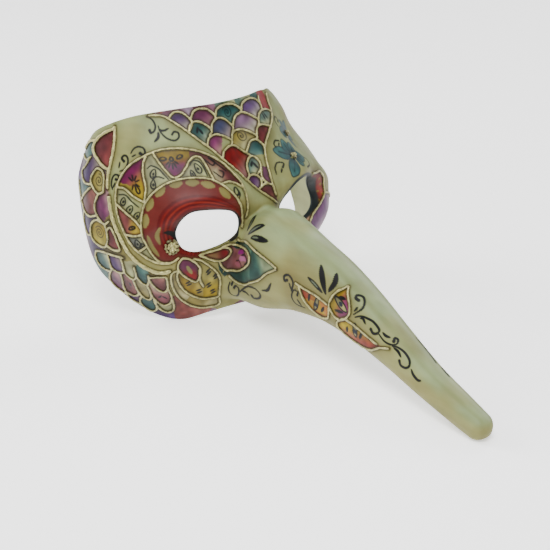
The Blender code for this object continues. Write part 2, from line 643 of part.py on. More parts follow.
# three leaves on the side of the nose
relief("nose_leaf_relief", [
    on_nose((2.2, -84), (2.24, -86), (2.29, -86.5), (2.34, -88)),
    on_nose((2.215, -85.6), (2.24, -98), (2.28, -112), (2.315, -117), (2.345, -110),
            (2.352, -98), (2.345, -84)),
    on_nose((2.345, -84), (2.35, -70), (2.358, -52), (2.368, -36), (2.372, -22)),
    on_nose((2.345, -88), (2.375, -94), (2.405, -92), (2.424, -82), (2.424, -68), (2.408, -52),
            (2.388, -38), (2.372, -22)),
    on_nose((2.412, -89), (2.45, -87), (2.5, -86), (2.545, -84)),
    on_nose((2.412, -89), (2.39, -102), (2.4, -116), (2.44, -126), (2.49, -122), (2.53, -104),
            (2.556, -86), (2.585, -66)),
])

# ---- set pieces -----------------------------------------------------------------------


def turned(name, centre, profile, around, pebbles=0):
    """Small turned piece standing on the surface; profile is (radius, height) pairs."""
    spot, up = outward_at(centre)
    side = np.cross(up, (0, 0, 1))
    side /= np.linalg.norm(side)
    other = np.cross(up, side)
    widest = max(radius for radius, _ in profile) * 1.1
    rim = [spot + (side * math.cos(a) + other * math.sin(a)) * widest
           for a in np.linspace(0, 2 * math.pi, 17)]
    spot = spot + up * max(0.0, -min(height_above(p) for p in rim))
    points = []
    for radius, height in profile:
        for k in range(around):
            angle = 2 * math.pi * k / around
            wave = 1 + 0.08 * math.cos(pebbles * angle)
            points.append(spot + up * height
                          + (side * math.cos(angle) + other * math.sin(angle)) * radius * wave)
    points.append(spot + up * profile[-1][1])
    top = len(points) - 1
    faces = [tuple(reversed(range(around)))]
    for i in range(len(profile) - 1):
        for k in range(around):
            n = (k + 1) % around
            faces.append((i * around + k, i * around + n, (i + 1) * around + n, (i + 1) * around + k))
    last = (len(profile) - 1) * around
    for k in range(around):
        faces.append((last + k, last + (k + 1) % around, top))
    made = add_object(name, points, faces, GOLD, 0.38, 0.65)
    face_outward(made)
    return made


turned("eye_rosette", on_face((-41.8, -7.7))[0],
       [(3.6, 0.4), (4.1, 1.0), (3.7, 2.3), (2.3, 2.6), (1.8, 1.9)], 24, 8)
turned("brow_flower_button", on_face((23, 29.5))[0],
       [(2.0, 0.4), (2.2, 0.9), (1.8, 1.8), (0.9, 2.3)], 14)
turned("forehead_flower_button", on_face((36.5, 37.5))[0],
       [(1.8, 0.4), (2.0, 0.9), (1.6, 1.7), (0.8, 2.1)], 14)

# ---- ribbon pads inside the temples -----------------------------------------------------

PAD = (11.0, 13.0, 1.4)         # length back to front, height, thickness
PAD_TURN = 76                   # degrees round from the middle
PAD_HEIGHT = 5                  # above the eye line
PAD_GAP = 1.4                   # to the wall at the pad's middle


def ribbon_pad(name, side):
    """Flat pad glued inside one temple, which the ribbon is fixed to."""
    spot, up = outward_at(on_face((side * PAD_TURN, PAD_HEIGHT))[0])
    along = np.cross(up, (0, 0, 1))
    along /= np.linalg.norm(along)
    rise = np.cross(along, up)
    outer = spot - up * (WALL + PAD_GAP)
    points = []
    for depth in (0, PAD[2]):
        for a, b in ((-1, -1), (1, -1), (1, 1), (-1, 1)):
            points.append(outer - up * depth + along * a * PAD[0] / 2 + rise * b * PAD[1] / 2)
    faces = [(0, 1, 2, 3), (7, 6, 5, 4), (0, 4, 5, 1), (1, 5, 6, 2), (2, 6, 7, 3), (3, 7, 4, 0)]
    made = add_object(name, points, faces, TAPE, 0.8, 0)
    face_outward(made)
    return made


ribbon_pad("left_ribbon_pad", 1)
ribbon_pad("right_ribbon_pad", -1)

# ---- lay everything on the table ---------------------------------------------------------

for shaded in bpy.data.objects:
    if not shaded.name.endswith("_pad"):
        shaded.data.shade_smooth()
        shaded.data.set_sharp_from_angle(angle=math.radians(SHARP))
face_shell.rotation_euler = (-math.radians(REST_PITCH), 0, 0)
face_shell.location = tuple(v * MM for v in REST_SHIFT)
for child in bpy.data.objects:
    if child is not face_shell:
        child.parent = face_shell
bpy.context.view_layer.update()
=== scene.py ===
"""Long-nosed carnival half mask: painted papier-mache skin, piped gold relief, brush scrolls.

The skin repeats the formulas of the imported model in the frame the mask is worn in, in
millimetres: it faces -Y, +X is the wearer's left and z = 0 is the line through the eyes.
to_table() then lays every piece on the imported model, in metres.
"""

import json
import math

import bmesh
import bpy
import numpy as np
from mathutils import Matrix, Vector
from mathutils.bvhtree import BVHTree
from mathutils.geometry import delaunay_2d_cdt
from mathutils.kdtree import KDTree

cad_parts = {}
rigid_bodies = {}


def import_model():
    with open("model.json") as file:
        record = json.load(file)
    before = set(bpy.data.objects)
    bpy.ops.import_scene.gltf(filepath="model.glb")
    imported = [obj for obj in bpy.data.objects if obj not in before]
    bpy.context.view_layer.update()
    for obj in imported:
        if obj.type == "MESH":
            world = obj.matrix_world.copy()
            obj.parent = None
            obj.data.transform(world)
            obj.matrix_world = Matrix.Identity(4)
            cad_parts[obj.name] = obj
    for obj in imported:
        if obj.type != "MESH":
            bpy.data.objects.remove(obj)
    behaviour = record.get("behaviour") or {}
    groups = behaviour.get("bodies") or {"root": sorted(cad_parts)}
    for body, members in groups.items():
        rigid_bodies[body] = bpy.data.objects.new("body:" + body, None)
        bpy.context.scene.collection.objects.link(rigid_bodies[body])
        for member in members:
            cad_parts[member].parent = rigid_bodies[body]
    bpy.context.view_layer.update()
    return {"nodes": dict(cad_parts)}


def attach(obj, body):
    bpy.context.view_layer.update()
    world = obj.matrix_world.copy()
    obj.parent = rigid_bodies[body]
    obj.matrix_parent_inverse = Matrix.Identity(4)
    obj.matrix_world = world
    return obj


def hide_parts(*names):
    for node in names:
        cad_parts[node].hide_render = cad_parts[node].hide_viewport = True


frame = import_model()

MM = 0.001                      # metres in a millimetre
BODY = "root"

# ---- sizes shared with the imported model, millimetres and degrees ------------------------
WALL = 2.2
REST_PITCH = 4.616
REST_SHIFT = np.array([1.068, 131.156, 61.268])
TIP_ROUND = 8.0

# half width and front depth of the face at each height
HEIGHTS = [-72, -55, -38, -20, 0, 13, 24, 35, 48, 60, 72, 84]
HALF_WIDTH = [61, 69, 76, 81.5, 83.5, 83.5, 83, 80, 75, 69.5, 63, 57]
FRONT_DEPTH = [56, 64, 71, 76, 79, 80, 77, 69, 60, 51, 41, 31]

# nose sections: forward, height, up, down, half width, squareness
NOSE = np.array([
    (92, -22.8, 30.9, 34.4, 23.6, 2.3),
    (118, -26.4, 26.0, 23.5, 19.4, 2.5),
    (144, -29.6, 20.3, 18.8, 16.0, 2.7),
    (170, -37.6, 15.7, 15.0, 13.5, 2.8),
    (197, -49.2, 12.0, 11.5, 11.2, 2.8),
    (223, -60.9, 9.4, 9.2, 9.6, 2.8),
    (248, -70.2, 8.1, 8.0, 8.5, 2.8),
    (262, -75.2, 7.6, 7.4, 7.7, 2.6)])

# outlines on the face, as (degrees round from the middle, height)
CHART_CENTRE = (0.0, -24.0)
CHART_STRETCH = 1.4             # millimetres of face in a degree
NOSE_ROOT = [(0, 9), (8.5, 3.5), (13.6, -9), (18.5, -25), (22.5, -41), (21.5, -51.5), (10, -55.5), (0, -56)]
RIM_LEFT = [(0, 67), (18, 66.5), (34, 64.5), (48, 62), (57, 60.5), (64, 56), (82, 48), (93, 40), (95, 25),
            (94, 5), (90, -10), (84, -26), (75, -40), (66, -52), (55, -61.5), (42, -65), (27, -61),
            (14, -59), (0, -59)]
RIM_RIGHT = [(0, 67), (-18, 68), (-36, 68), (-54, 66.5), (-70, 62.5), (-84, 56), (-95, 45),
             (-99, 29), (-97, 8), (-93, -10), (-86, -26), (-77, -39), (-67, -52), (-55, -61.5),
             (-42, -65), (-27, -61), (-14, -59), (0, -59)]
EYE_RIGHT = [(-12, 3), (-16.5, 10), (-24.5, 13), (-32.5, 14), (-37, 9.5), (-40, 1), (-39.5, -5),
             (-37, -10.5), (-31.5, -13.8), (-23, -13), (-15.6, -9.8), (-12, -5)]
EYE_LEFT = [(10.5, 5), (12.5, 12), (18, 17), (26, 16.5), (33, 11.5), (38, 4), (39.5, -3), (37, -9),
            (31, -13), (23, -13), (15, -9.8), (11.5, -3)]
FLARE_PULL = 0.9                # how strongly the face leads into the nose, above and at the sides
FLARE_PULL_UNDER = 0.15         # and under it
NOSE_PULL = 1.3                 # how strongly the nose leads back into the face
LEFT_HOLLOW = 7.5               # how much flatter the left forehead is over the brow
LEFT_CORNER = 5.0               # and at its top corner

# ---- curves --------------------------------------------------------------------------


def smooth(low, high, x):
    t = np.clip((x - low) / (high - low), 0, 1)
    return t * t * (3 - 2 * t)


def hump(x, centre, spread, power=2):
    return np.exp(-np.abs((x - centre) / spread) ** power)


def hermite(t, start, leave, end, arrive):
    """Cubic from start to end with the slopes leave and arrive."""
    return ((2 * t**3 - 3 * t**2 + 1) * start + (t**3 - 2 * t**2 + t) * leave
            + (-2 * t**3 + 3 * t**2) * end + (t**3 - t**2) * arrive)


def curve(stations, values, x):
    """Smooth curve through (stations, values)."""
    xs = np.array(stations, float)
    ys = np.array(values, float)
    slope = np.gradient(ys, xs)
    i = np.clip(np.searchsorted(xs, x) - 1, 0, len(xs) - 2)
    h = xs[i + 1] - xs[i]
    t = np.clip((x - xs[i]) / h, 0, 1)
    return hermite(t, ys[i], h * slope[i], ys[i + 1], h * slope[i + 1])


def spline(points, closed, per_span):
    """Catmull-Rom curve through points of any dimension."""
    p = np.array(points, float)
    if closed:
        p = np.vstack([p[-1:], p, p[:2]])
    else:
        p = np.vstack([2 * p[0] - p[1], p, 2 * p[-1] - p[-2]])
    out = []
    for a, b, c, d in zip(p, p[1:], p[2:], p[3:]):
        for t in np.arange(per_span) / per_span:
            out.append(0.5 * (2 * b + (c - a) * t + (2 * a - 5 * b + 4 * c - d) * t * t
                              + (3 * b - a - 3 * c + d) * t**3))
    if not closed:
        out.append(p[-2])
    return np.array(out)


# ---- the outer surface ----------------------------------------------------------------


def swell(turn, z):
    """How far the face stands outside a plain ellipse: brow, socket, cheek and temple."""
    side = np.abs(turn)
    ridge = 17 - 0.018 * (side - 24) ** 2
    brow = 7.5 * np.exp(-((z - ridge) / np.where(z > ridge, 13, 8)) ** 2) * hump(side, 31, 23, 4)
    frown = -5 * hump(side, 0, 6) * smooth(6, 24, z) * (1 - smooth(50, 72, z))
    socket = -11 * hump(side, 27, 15) * hump(z, 1, 14)
    cheek = 10 * hump(side, 52, 22) * hump(z, -18, 22)
    temple = 2.5 * hump(side, 62, 16) * hump(z, 8, 14)
    curl = -7 * smooth(80, 100, side)
    hollow = -LEFT_HOLLOW * smooth(16, 44, turn) * hump(z, 33, 21)
    corner = -LEFT_CORNER * smooth(14, 40, turn) * smooth(42, 63, z)
    return brow + frown + socket + cheek + temple + curl + hollow + corner


def face(turn, z):
    """Point on the face, turn degrees round from the middle at height z."""
    t = np.radians(turn)
    narrower_left = 1 - 0.05 * smooth(20, 60, z) * smooth(0, 60, turn)
    a = curve(HEIGHTS, HALF_WIDTH, z) * narrower_left
    b = curve(HEIGHTS, FRONT_DEPTH, z)
    w = swell(turn, z)
    return np.stack([(a + w) * np.sin(t), -(b + w) * np.cos(t), z + 0 * t], -1)


def nose_row(s):
    """Section sizes at s (0 root, 1 last section) and the direction of the nose there."""
    at = np.linspace(0, 1, len(NOSE))
    row = np.stack([curve(at, NOSE[:, k], s) for k in range(NOSE.shape[1])], -1)
    step = 1e-3
    ahead = np.stack([curve(at, NOSE[:, k], np.clip(s + step, 0, 1)) for k in range(2)], -1)
    behind = np.stack([curve(at, NOSE[:, k], np.clip(s - step, 0, 1)) for k in range(2)], -1)
    along = ahead - behind
    return row, along / np.linalg.norm(along, axis=-1, keepdims=True)


def nose(s, phi):
    """Point on the nose: s runs 0..1 to the last section, 1..2 round the tip; phi 0 is on top."""
    row, along = nose_row(np.clip(s, 0, 1))
    over = np.clip(s - 1, 0, 1) * math.pi / 2
    shrink = np.cos(over)
    reach = np.sin(over) * TIP_ROUND
    p = np.radians(phi)
    power = 2 / row[..., 5]
    up = np.sign(np.cos(p)) * np.abs(np.cos(p)) ** power
    out = np.sign(np.sin(p)) * np.abs(np.sin(p)) ** power
    rise = np.where(up > 0, row[..., 2], row[..., 3]) * up * shrink
    forward = row[..., 0] + along[..., 0] * reach - along[..., 1] * rise
    height = row[..., 1] + along[..., 1] * reach + along[..., 0] * rise
    return np.stack([row[..., 4] * out * shrink, -forward, height], -1)


def reach_table(loop):
    """Distance from the chart centre to a closed outline, by direction."""
    d = (loop - CHART_CENTRE) * (CHART_STRETCH, 1)
    direction = np.degrees(np.arctan2(d[:, 0], d[:, 1])) % 360
    order = np.argsort(direction)
    a = direction[order]
    r = np.hypot(d[:, 0], d[:, 1])[order]
    return np.concatenate([a[-1:] - 360, a, a[:1] + 360]), np.concatenate([r[-1:], r, r[:1]])


def mirrored(half):
    return half + [(-turn, z) for turn, z in half[-2:0:-1]]


ROOT_REACH = reach_table(spline(mirrored(NOSE_ROOT), True, 24))
RIM_REACH = reach_table(spline(RIM_LEFT + RIM_RIGHT[-2:0:-1], True, 24))


def chart(phi, share):
    """Place on the face in direction phi: share 0 is the nose root, 1 is the rim."""
    p = phi % 360
    inner = np.interp(p, *ROOT_REACH)
    outer = np.interp(p, *RIM_REACH)
    r = inner + (outer - inner) * share
    t = np.radians(p)
    return CHART_CENTRE[0] + r * np.sin(t) / CHART_STRETCH, CHART_CENTRE[1] + r * np.cos(t)


def skin(u, phi):
    """Outer surface: u 0..1 rim to nose root, 1..2 flare, 2..3 nose, 3..4 tip."""
    u, phi = np.broadcast_arrays(np.asarray(u, float), np.asarray(phi, float))
    out = np.zeros(u.shape + (3,))
    on_face = u <= 1
    out[on_face] = face(*chart(phi[on_face], 1 - u[on_face]))
    on_nose = u >= 2
    out[on_nose] = nose(u[on_nose] - 2, phi[on_nose])
    flare = ~(on_face | on_nose)
    if flare.any():
        p = phi[flare]
        t = (u[flare] - 1)[:, None]
        none = np.zeros(len(p))
        small = none + 0.02
        start = face(*chart(p, none))
        leave = start - face(*chart(p, small))
        leave /= np.linalg.norm(leave, axis=-1, keepdims=True)
        end = nose(none, p)
        arrive = nose(small, p) - end
        arrive /= np.linalg.norm(arrive, axis=-1, keepdims=True)
        span = np.linalg.norm(end - start, axis=-1, keepdims=True)
        under = smooth(130, 165, np.abs((p + 180) % 360 - 180))[:, None]
        pull = FLARE_PULL - (FLARE_PULL - FLARE_PULL_UNDER) * under
        out[flare] = hermite(t, start, leave * span * pull, end, arrive * span * NOSE_PULL)
    return out


# ---- laying out -----------------------------------------------------------------------

PITCH_COS = math.cos(math.radians(REST_PITCH))
PITCH_SIN = math.sin(math.radians(REST_PITCH))
TURN = np.array([[1, 0, 0], [0, PITCH_COS, PITCH_SIN], [0, -PITCH_SIN, PITCH_COS]])


def to_table(points):
    """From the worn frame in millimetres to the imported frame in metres."""
    return (np.asarray(points) @ TURN.T + REST_SHIFT) * MM


def face_normal(turn, z):
    step = 0.05
    across = face(turn + step, z) - face(turn - step, z)
    rise = face(turn, z + step) - face(turn, z - step)
    n = np.cross(across, rise)
    return n / np.linalg.norm(n, axis=-1, keepdims=True)


def skin_normal(u, phi):
    """Outward direction on the flare and nose."""
    step = 1e-3
    turn = 0.1
    u = np.asarray(u, float)
    along = skin(np.minimum(u + step, 4), phi) - skin(np.maximum(u - step, 0), phi)
    around = skin(u, phi + turn) - skin(u, phi - turn)
    n = np.cross(along, around)
    return n / np.maximum(np.linalg.norm(n, axis=-1, keepdims=True), 1e-12)


def on_face(*places):
    """Places read as (degrees round, height)."""
    a = np.array(places, float)
    return [tuple(p) for p in face(a[:, 0], a[:, 1])]


def on_nose(*places):
    """Places read as (skin step, degrees round the nose)."""
    a = np.array(places, float)
    return [tuple(p) for p in skin(a[:, 0], a[:, 1])]


def chart_of(points):
    """Degrees round and height of points on the face."""
    p = np.asarray(points, float)
    z = p[:, 2]
    a = curve(HEIGHTS, HALF_WIDTH, z)
    b = curve(HEIGHTS, FRONT_DEPTH, z)
    w = 0.0
    for _ in range(6):          # the swell depends on the turn, so both are found in rounds
        turn = np.degrees(np.arctan2(p[:, 0] / (a + w), -p[:, 1] / (b + w)))
        w = swell(turn, z)
    return np.stack([turn, z], -1)


def unrolled(turn, z):
    """Places on the face as points of a flat sheet, in millimetres."""
    return [(a * CHART_STRETCH, b, 0) for a, b in zip(turn, z)]


def beside(place, lean, ahead, aside=0.0):
    """Place on the face so many millimetres ahead along a lean in degrees, and to the side of it."""
    a = math.radians(lean)
    c = math.cos(a)
    s = math.sin(a)
    return (place[0] + (c * ahead - s * aside) / CHART_STRETCH, place[1] + s * ahead + c * aside)


def tree_of(points):
    made = KDTree(len(points))
    for k, p in enumerate(points):
        made.insert(p, k)
    made.balance()
    return made


def distances(tree, points):
    return np.array([tree.find(p)[2] for p in points])


def inside(loop, x, y):
    """Whether points lie inside a closed outline."""
    found = np.zeros(np.shape(x), bool)
    for (x0, y0), (x1, y1) in zip(loop, np.roll(loop, -1, 0)):
        if y0 == y1:
            continue
        crosses = (y0 > y) != (y1 > y)
        found ^= crosses & (x < (x1 - x0) * (y - y0) / (y1 - y0) + x0)
    return found


def resample(line, step, closed=False):
    """Points along a line at about the given spacing."""
    line = np.asarray(line, float)
    if closed:
        line = np.vstack([line, line[:1]])
    run = np.concatenate([[0], np.cumsum(np.linalg.norm(np.diff(line, axis=0), axis=1))])
    count = max(2, int(round(run[-1] / step)))
    at = np.linspace(0, run[-1], count + 1)
    even = np.stack([np.interp(at, run, line[:, k]) for k in range(line.shape[1])], -1)
    return even[:-1] if closed else even


# ---- relief routes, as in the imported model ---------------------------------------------

RELIEFS = {}


def relief(name, lines, loops=()):
    """Keep the open lines and closed loops of one relief piece."""
    RELIEFS[name] = [(np.array(r), False) for r in lines] + [(np.array(r), True) for r in loops]


# wedge of fish scales over the forehead, between its two borders
relief("forehead_scale_relief", [
    on_face((-46, 66.4), (-38, 65.6), (-33, 62.5), (-27, 57), (-21, 50), (-17, 45), (-14, 40),
            (-11, 35), (-8, 29.5), (-6.5, 26), (-2.2, 19.4), (1.4, 14.6), (4, 11), (6.6, 7.4)),
    on_face((45, 60.4), (40, 57.6), (33.6, 53.4), (25, 49.8), (16.8, 45.4), (10.6, 39.6), (7.8, 32.5),
            (6.4, 25.6), (5.9, 19.5), (6, 12.5)),
    on_face((-34.5, 63.8), (-31, 66.6), (-27, 66.2), (-24, 63.5), (-22.5, 60), (-25.5, 55.5)),
    on_face((-23, 61.5), (-20, 65.4), (-16, 66.4), (-11.5, 65), (-9, 61), (-11, 58.5)),
    on_face((-9, 61), (-6, 64.4), (0, 65.4), (5, 64.2), (7.5, 60.5), (4.5, 58.5)),
    on_face((7.5, 60.5), (10, 63.6), (15, 64.8), (20.5, 63.6), (23.5, 60), (21.5, 56.5)),
    on_face((23.5, 60), (25.4, 62), (28, 63.2)),
    on_face((-25.5, 55.5), (-24, 58.8), (-20.5, 60.5), (-16.5, 58.5), (-13.8, 54.5), (-16, 51.8)),
    on_face((-13.8, 54.5), (-12, 58), (-8, 59.8), (-3.5, 57.5), (0, 52.5), (-2, 49.8)),
    on_face((0, 52.5), (3, 57.5), (7, 59.4), (11, 57), (14.2, 53), (12.5, 50.5)),
    on_face((14.2, 53), (17, 55.8), (21.5, 56.6), (27, 55.4), (31, 52.6)),
    on_face((-18.5, 47), (-16.5, 50.8), (-12.5, 52), (-8.5, 50), (-5, 46.3), (-6.5, 44.4)),
    on_face((-5, 46.3), (-2, 49.5), (2.5, 50.4), (6, 49), (8.8, 45.5), (7.5, 43.8)),
    on_face((8.8, 45.5), (11, 49.4), (14.5, 50.4), (20, 47.6)),
    on_face((-13.5, 38.6), (-11.5, 42.6), (-7.5, 44.4), (-3.5, 42.6), (1, 37.5), (2.6, 35.9)),
    on_face((1, 37.5), (3, 40.5), (5, 43.4), (7.8, 43.8), (9.8, 40), (9.2, 36.5)),
    on_face((-3.4, 26.4), (-2.4, 30.8), (0.6, 34.2), (3, 35.4), (4.6, 33), (4.2, 29), (1.6, 25.6)),
    on_face((4.4, 29.4), (3.4, 26.5), (3, 23.4), (3.8, 20.8), (5.7, 18.8)),
    on_face((-6, 25.4), (-2.4, 26.4), (1, 25.3), (2.2, 22), (0.8, 18.6), (-0.8, 17.9)),
    on_face((0.8, 18.4), (2.8, 19.8), (4.6, 19.8)),
])

# line down the temple with the tall teardrop beside it
relief("temple_line_relief", [
    on_face((-67.5, 61), (-66.6, 55), (-66.8, 48), (-68, 40), (-69.2, 33), (-69.3, 26.4)),
    on_face((-94, 43.4), (-91.5, 46.4), (-87.6, 49.6), (-83.4, 51.4), (-79.4, 51.8)),
    on_face((-67.4, 59.6), (-73, 57.5), (-78, 54), (-80.8, 49.5), (-80, 45.5), (-76.5, 42),
            (-72.5, 38.6), (-68.6, 37)),
])

# scales down the temple and round the cheek
relief("temple_scale_relief", [
    on_face((-96, 40), (-90, 39.5), (-85, 40), (-81.5, 42.6)),
    on_face((-82.5, 41.2), (-86, 36), (-90.5, 31.5), (-85, 27), (-79.4, 27)),
    on_face((-71.6, 24.5), (-71.8, 34), (-75.5, 37), (-78.6, 33.5), (-79.6, 29), (-77.5, 25),
            (-74.5, 22.7), (-71.4, 24.4)),
    on_face((-79.2, 25.6), (-84, 20.5), (-90, 14), (-95.5, 10)),
    on_face((-96, 24), (-90.5, 14.5)),
    on_face((-90.5, 13.6), (-86, 8.6), (-81, 7), (-76, 9)),
    on_face((-74.5, 22.7), (-76.6, 17.5), (-77, 13), (-75, 8), (-71, 5), (-68.6, 7.6)),
    on_face((-86, 8.6), (-88.5, 2), (-85, -6), (-80.6, -5)),
    on_face((-72, 5.4), (-76, 6.2), (-79.6, 3), (-81, -2.5), (-80, -7.6), (-76, -10.2), (-71.5, -10),
            (-69.6, -4.5), (-70, 1.5), (-71, 5)),
    on_face((-70, 1.2), (-68, 3.8), (-66, 1), (-64, -5), (-63, -9), (-66, -10.2), (-70.4, -8.6)),
])
relief("cheek_scale_relief", [
    on_face((-78.6, -14.6), (-80.2, -19), (-79.5, -25), (-75, -27.5), (-71, -26), (-70.4, -19),
            (-70.6, -13.8)),
    on_face((-79, -15), (-75, -14), (-70, -13.8), (-66, -13.8), (-61.4, -13.8)),
    on_face((-70.6, -21), (-69.5, -24.5), (-66.5, -26), (-63, -24.5), (-62.4, -19), (-62.8, -13.8)),
    on_face((-62.4, -18), (-62.6, -25), (-59.8, -29.5), (-57.4, -26), (-57, -19)),
    on_face((-57.5, -26), (-56.6, -31), (-54.4, -33.6), (-52.4, -29), (-51.9, -24.8)),
    on_face((-71.6, -26.4), (-75, -32), (-76.2, -37), (-73.5, -42), (-69.5, -44), (-68.4, -38),
            (-66.5, -31.5), (-65.5, -26)),
    on_face((-67.4, -34), (-69, -42), (-65, -45.4), (-61.4, -43), (-60.6, -36), (-59.9, -29.6)),
    on_face((-60.8, -38), (-60, -45), (-56.6, -47.2), (-54.6, -42), (-54.4, -33.6)),
    on_face((-52.2, -29), (-51.4, -35), (-48.4, -40), (-45.8, -37), (-44.9, -30), (-45, -26.6)),
    on_face((-52, -27), (-48.5, -26.2), (-45, -26.6)),
    on_face((-54.5, -38), (-54.4, -45), (-52.5, -50), (-49.4, -52), (-46.2, -49.5), (-45, -44),
            (-45.6, -37.2)),
    on_face((-54.6, -47), (-53.6, -54), (-50.5, -58), (-47, -57.6), (-45.2, -54), (-45, -46)),
    on_face((-60.2, -44.6), (-63, -50), (-61.8, -55), (-58, -58), (-54.6, -55), (-54.6, -49)),
    on_face((-68.6, -43.6), (-69.2, -47), (-66, -51), (-62.4, -52.6)),
])

# carved ridge outside the eye, and the ring of panels round it
relief("temple_ridge_relief", [
    on_face((-68.6, 22.5), (-67.6, 15), (-65.8, 7.5), (-63, 0), (-59.6, -7.5), (-55.6, -14.6),
            (-51, -20), (-46.6, -22.8), (-42.6, -22)),
])
relief("eye_ring_relief", [
    on_face((-12.8, 35.2), (-17.5, 41), (-23, 45), (-30, 47.6), (-38, 48.4), (-44, 47.6),
            (-49, 45.6), (-56, 41.6), (-61, 36), (-64.2, 29), (-65.2, 21), (-64.4, 13),
            (-62, 5.5), (-59, -1.5), (-55, -8), (-50.4, -13.6), (-46, -16.6), (-42, -17)),
    on_face((-39, -14.4), (-42, -16.6), (-46, -15.6), (-49, -11), (-51.2, -4), (-52.6, 3),
            (-53.3, 10), (-52.5, 17), (-50, 22.6), (-45.6, 27.4), (-40, 30.8), (-33, 32.3),
            (-27, 32), (-22, 30.4), (-18, 26.6), (-15.2, 21.5), (-13, 15), (-11.2, 8),
            (-10.2, 2), (-10.2, -3.5)),
    on_face((-48.6, 45.6), (-50.6, 41), (-51, 35), (-50.6, 28), (-52, 20)),
    on_face((-52, 20.4), (-56.5, 23.4), (-60.4, 27.4), (-64.4, 28)),
    on_face((-65, 18.6), (-60, 13.6), (-56, 9.8), (-53.2, 6)),
    on_face((-52.4, 2.5), (-56, 1), (-60.4, 1.2)),
    on_face((-54.4, -8.6), (-51, -5)),
    on_face((-45.6, 47.2), (-42.8, 41.6), (-40, 36.4), (-37.6, 33.2), (-34.2, 34), (-31, 37.6),
            (-28.6, 41), (-25.6, 42.8), (-23.2, 41.4), (-21.8, 36.6), (-21, 30)),
    on_face((-18.6, 27.6), (-14.6, 27.6), (-11.4, 25), (-9.6, 22), (-9.4, 14), (-8.9, 8),
            (-9, 3)),
    on_face((-13.6, 36.2), (-11.4, 31), (-9.8, 26), (-9.6, 21.4)),
])

# petals under the eye
relief("petal_cluster_relief", [
    on_face((-39.6, -20.6), (-40.6, -28), (-39.8, -36), (-37, -42.6), (-32, -47.6), (-27, -49.2),
            (-22.2, -48.6), (-21.6, -44), (-21.6, -36), (-23.2, -29.4), (-26.2, -24), (-29.9, -19),
            (-33.4, -16.8)),
    on_face((-31.2, -24.6), (-31, -33), (-29.6, -39)),
    on_face((-40, -22.6), (-42.6, -24.8), (-43.4, -32), (-43, -40), (-41, -47), (-37, -52.6),
            (-32, -55.6), (-26, -56.4), (-21.4, -55.2), (-21.6, -49.6)),
], loops=[
    on_face((-38, -15.6), (-39.8, -20), (-38.8, -25), (-36.2, -30), (-33, -33.6), (-31.2, -30),
            (-30.6, -25), (-32, -20.4), (-35, -16.6)),
])
relief("inner_petal_relief", [
    on_face((-20.4, -13.9), (-17.8, -12.9), (-15.4, -13)) + on_nose(
        (1.36, -65.5), (1.8, -72), (1.97, -79), (1.94, -88), (1.62, -97), (1.25, -101.5))
    + on_face((-18.6, -29.4), (-20.8, -26), (-22, -22)),
], loops=[
    on_face((-30.6, -15.8), (-27, -15.1), (-23, -14.8), (-19.5, -14.1), (-16.8, -15.3), (-16.6, -18.4),
            (-20, -21.8), (-24.6, -20.6), (-28.2, -17.6)),
])
relief("cheek_leaf_relief", [
    on_nose((1.25, -107.5), (1.42, -110.5), (1.62, -111.5), (1.85, -109), (2.0, -104), (2.04, -97),
            (2.075, -88), (2.115, -78.5)),
    on_nose((1.1, -52.5), (1.25, -56), (1.45, -59), (1.7, -62), (1.9, -65.5), (2.02, -69.5),
            (2.07, -73), (2.115, -77.5)),
])

relief("left_eye_line_relief", [
    on_face((34.4, 14), (38, 12.6), (41, 12), (44.6, 6.5), (46.6, 0), (47, -5.6), (43.6, -8.8),
            (39, -11.6), (35, -14), (31.6, -17.6)),
    on_face((31.6, -17.6), (32.2, -24), (37, -31), (45, -36), (53, -38), (59, -34), (61, -26),
            (58, -17), (53, -10), (47, -5.6)),
])

# three leaves on the side of the nose
relief("nose_leaf_relief", [
    on_nose((2.2, -84), (2.24, -86), (2.29, -86.5), (2.34, -88)),
    on_nose((2.215, -85.6), (2.24, -98), (2.28, -112), (2.315, -117), (2.345, -110),
            (2.352, -98), (2.345, -84)),
    on_nose((2.345, -84), (2.35, -70), (2.358, -52), (2.368, -36), (2.372, -22)),
    on_nose((2.345, -88), (2.375, -94), (2.405, -92), (2.424, -82), (2.424, -68), (2.408, -52),
            (2.388, -38), (2.372, -22)),
    on_nose((2.412, -89), (2.45, -87), (2.5, -86), (2.545, -84)),
    on_nose((2.412, -89), (2.39, -102), (2.4, -116), (2.44, -126), (2.49, -122), (2.53, -104),
            (2.556, -86), (2.585, -66)),
])

# bosses, as (degrees round, height) of their middles
ROSETTE = (-41.8, -7.7)
LOW_FLOWER = (23, 29.5)
HIGH_FLOWER = (36.5, 37.5)

# ---- paint colours, as mixed on the palette (0..255) -----------------------------------

GROUND = (190, 195, 146)
CREAM = (194, 195, 150)
PALE = (206, 205, 178)
PURPLE = (76, 44, 100)
VIOLET = (98, 68, 122)
PLUM = (108, 46, 86)
MAUVE = (132, 82, 106)
LILAC = (170, 148, 170)
TEAL = (48, 90, 90)
BLUE = (76, 80, 112)
SEA = (112, 142, 132)
MAROON = (108, 50, 54)
ROSE = (142, 72, 76)
RED = (128, 15, 10)
SALMON = (188, 112, 92)
PEACH = (206, 168, 140)
YELLOW = (186, 162, 74)
GILT = (176, 162, 96)
DARK_OLIVE = (80, 71, 38)
INK = (2, 4, 8)
GREY = (128, 132, 124)
RIM_BLACK = (34, 42, 42)
TAN = (180, 178, 124)
GREEN = (180, 195, 148)
OCHRE = (172, 152, 92)
UMBER = (132, 120, 76)
MOSS = (148, 160, 112)
NOSE_REFLECTION = (214, 224, 196)
LINING = (214, 217, 172)
STRIP_DARK = (108, 97, 50)
STRIP_PALE = (160, 152, 100)
CRESCENT_RED = (116, 15, 6)
CRESCENT_MAUVE = (112, 46, 42)
CRESCENT_HIGHLIGHT = (184, 84, 70)
CRESCENT_DARK = (84, 12, 12)
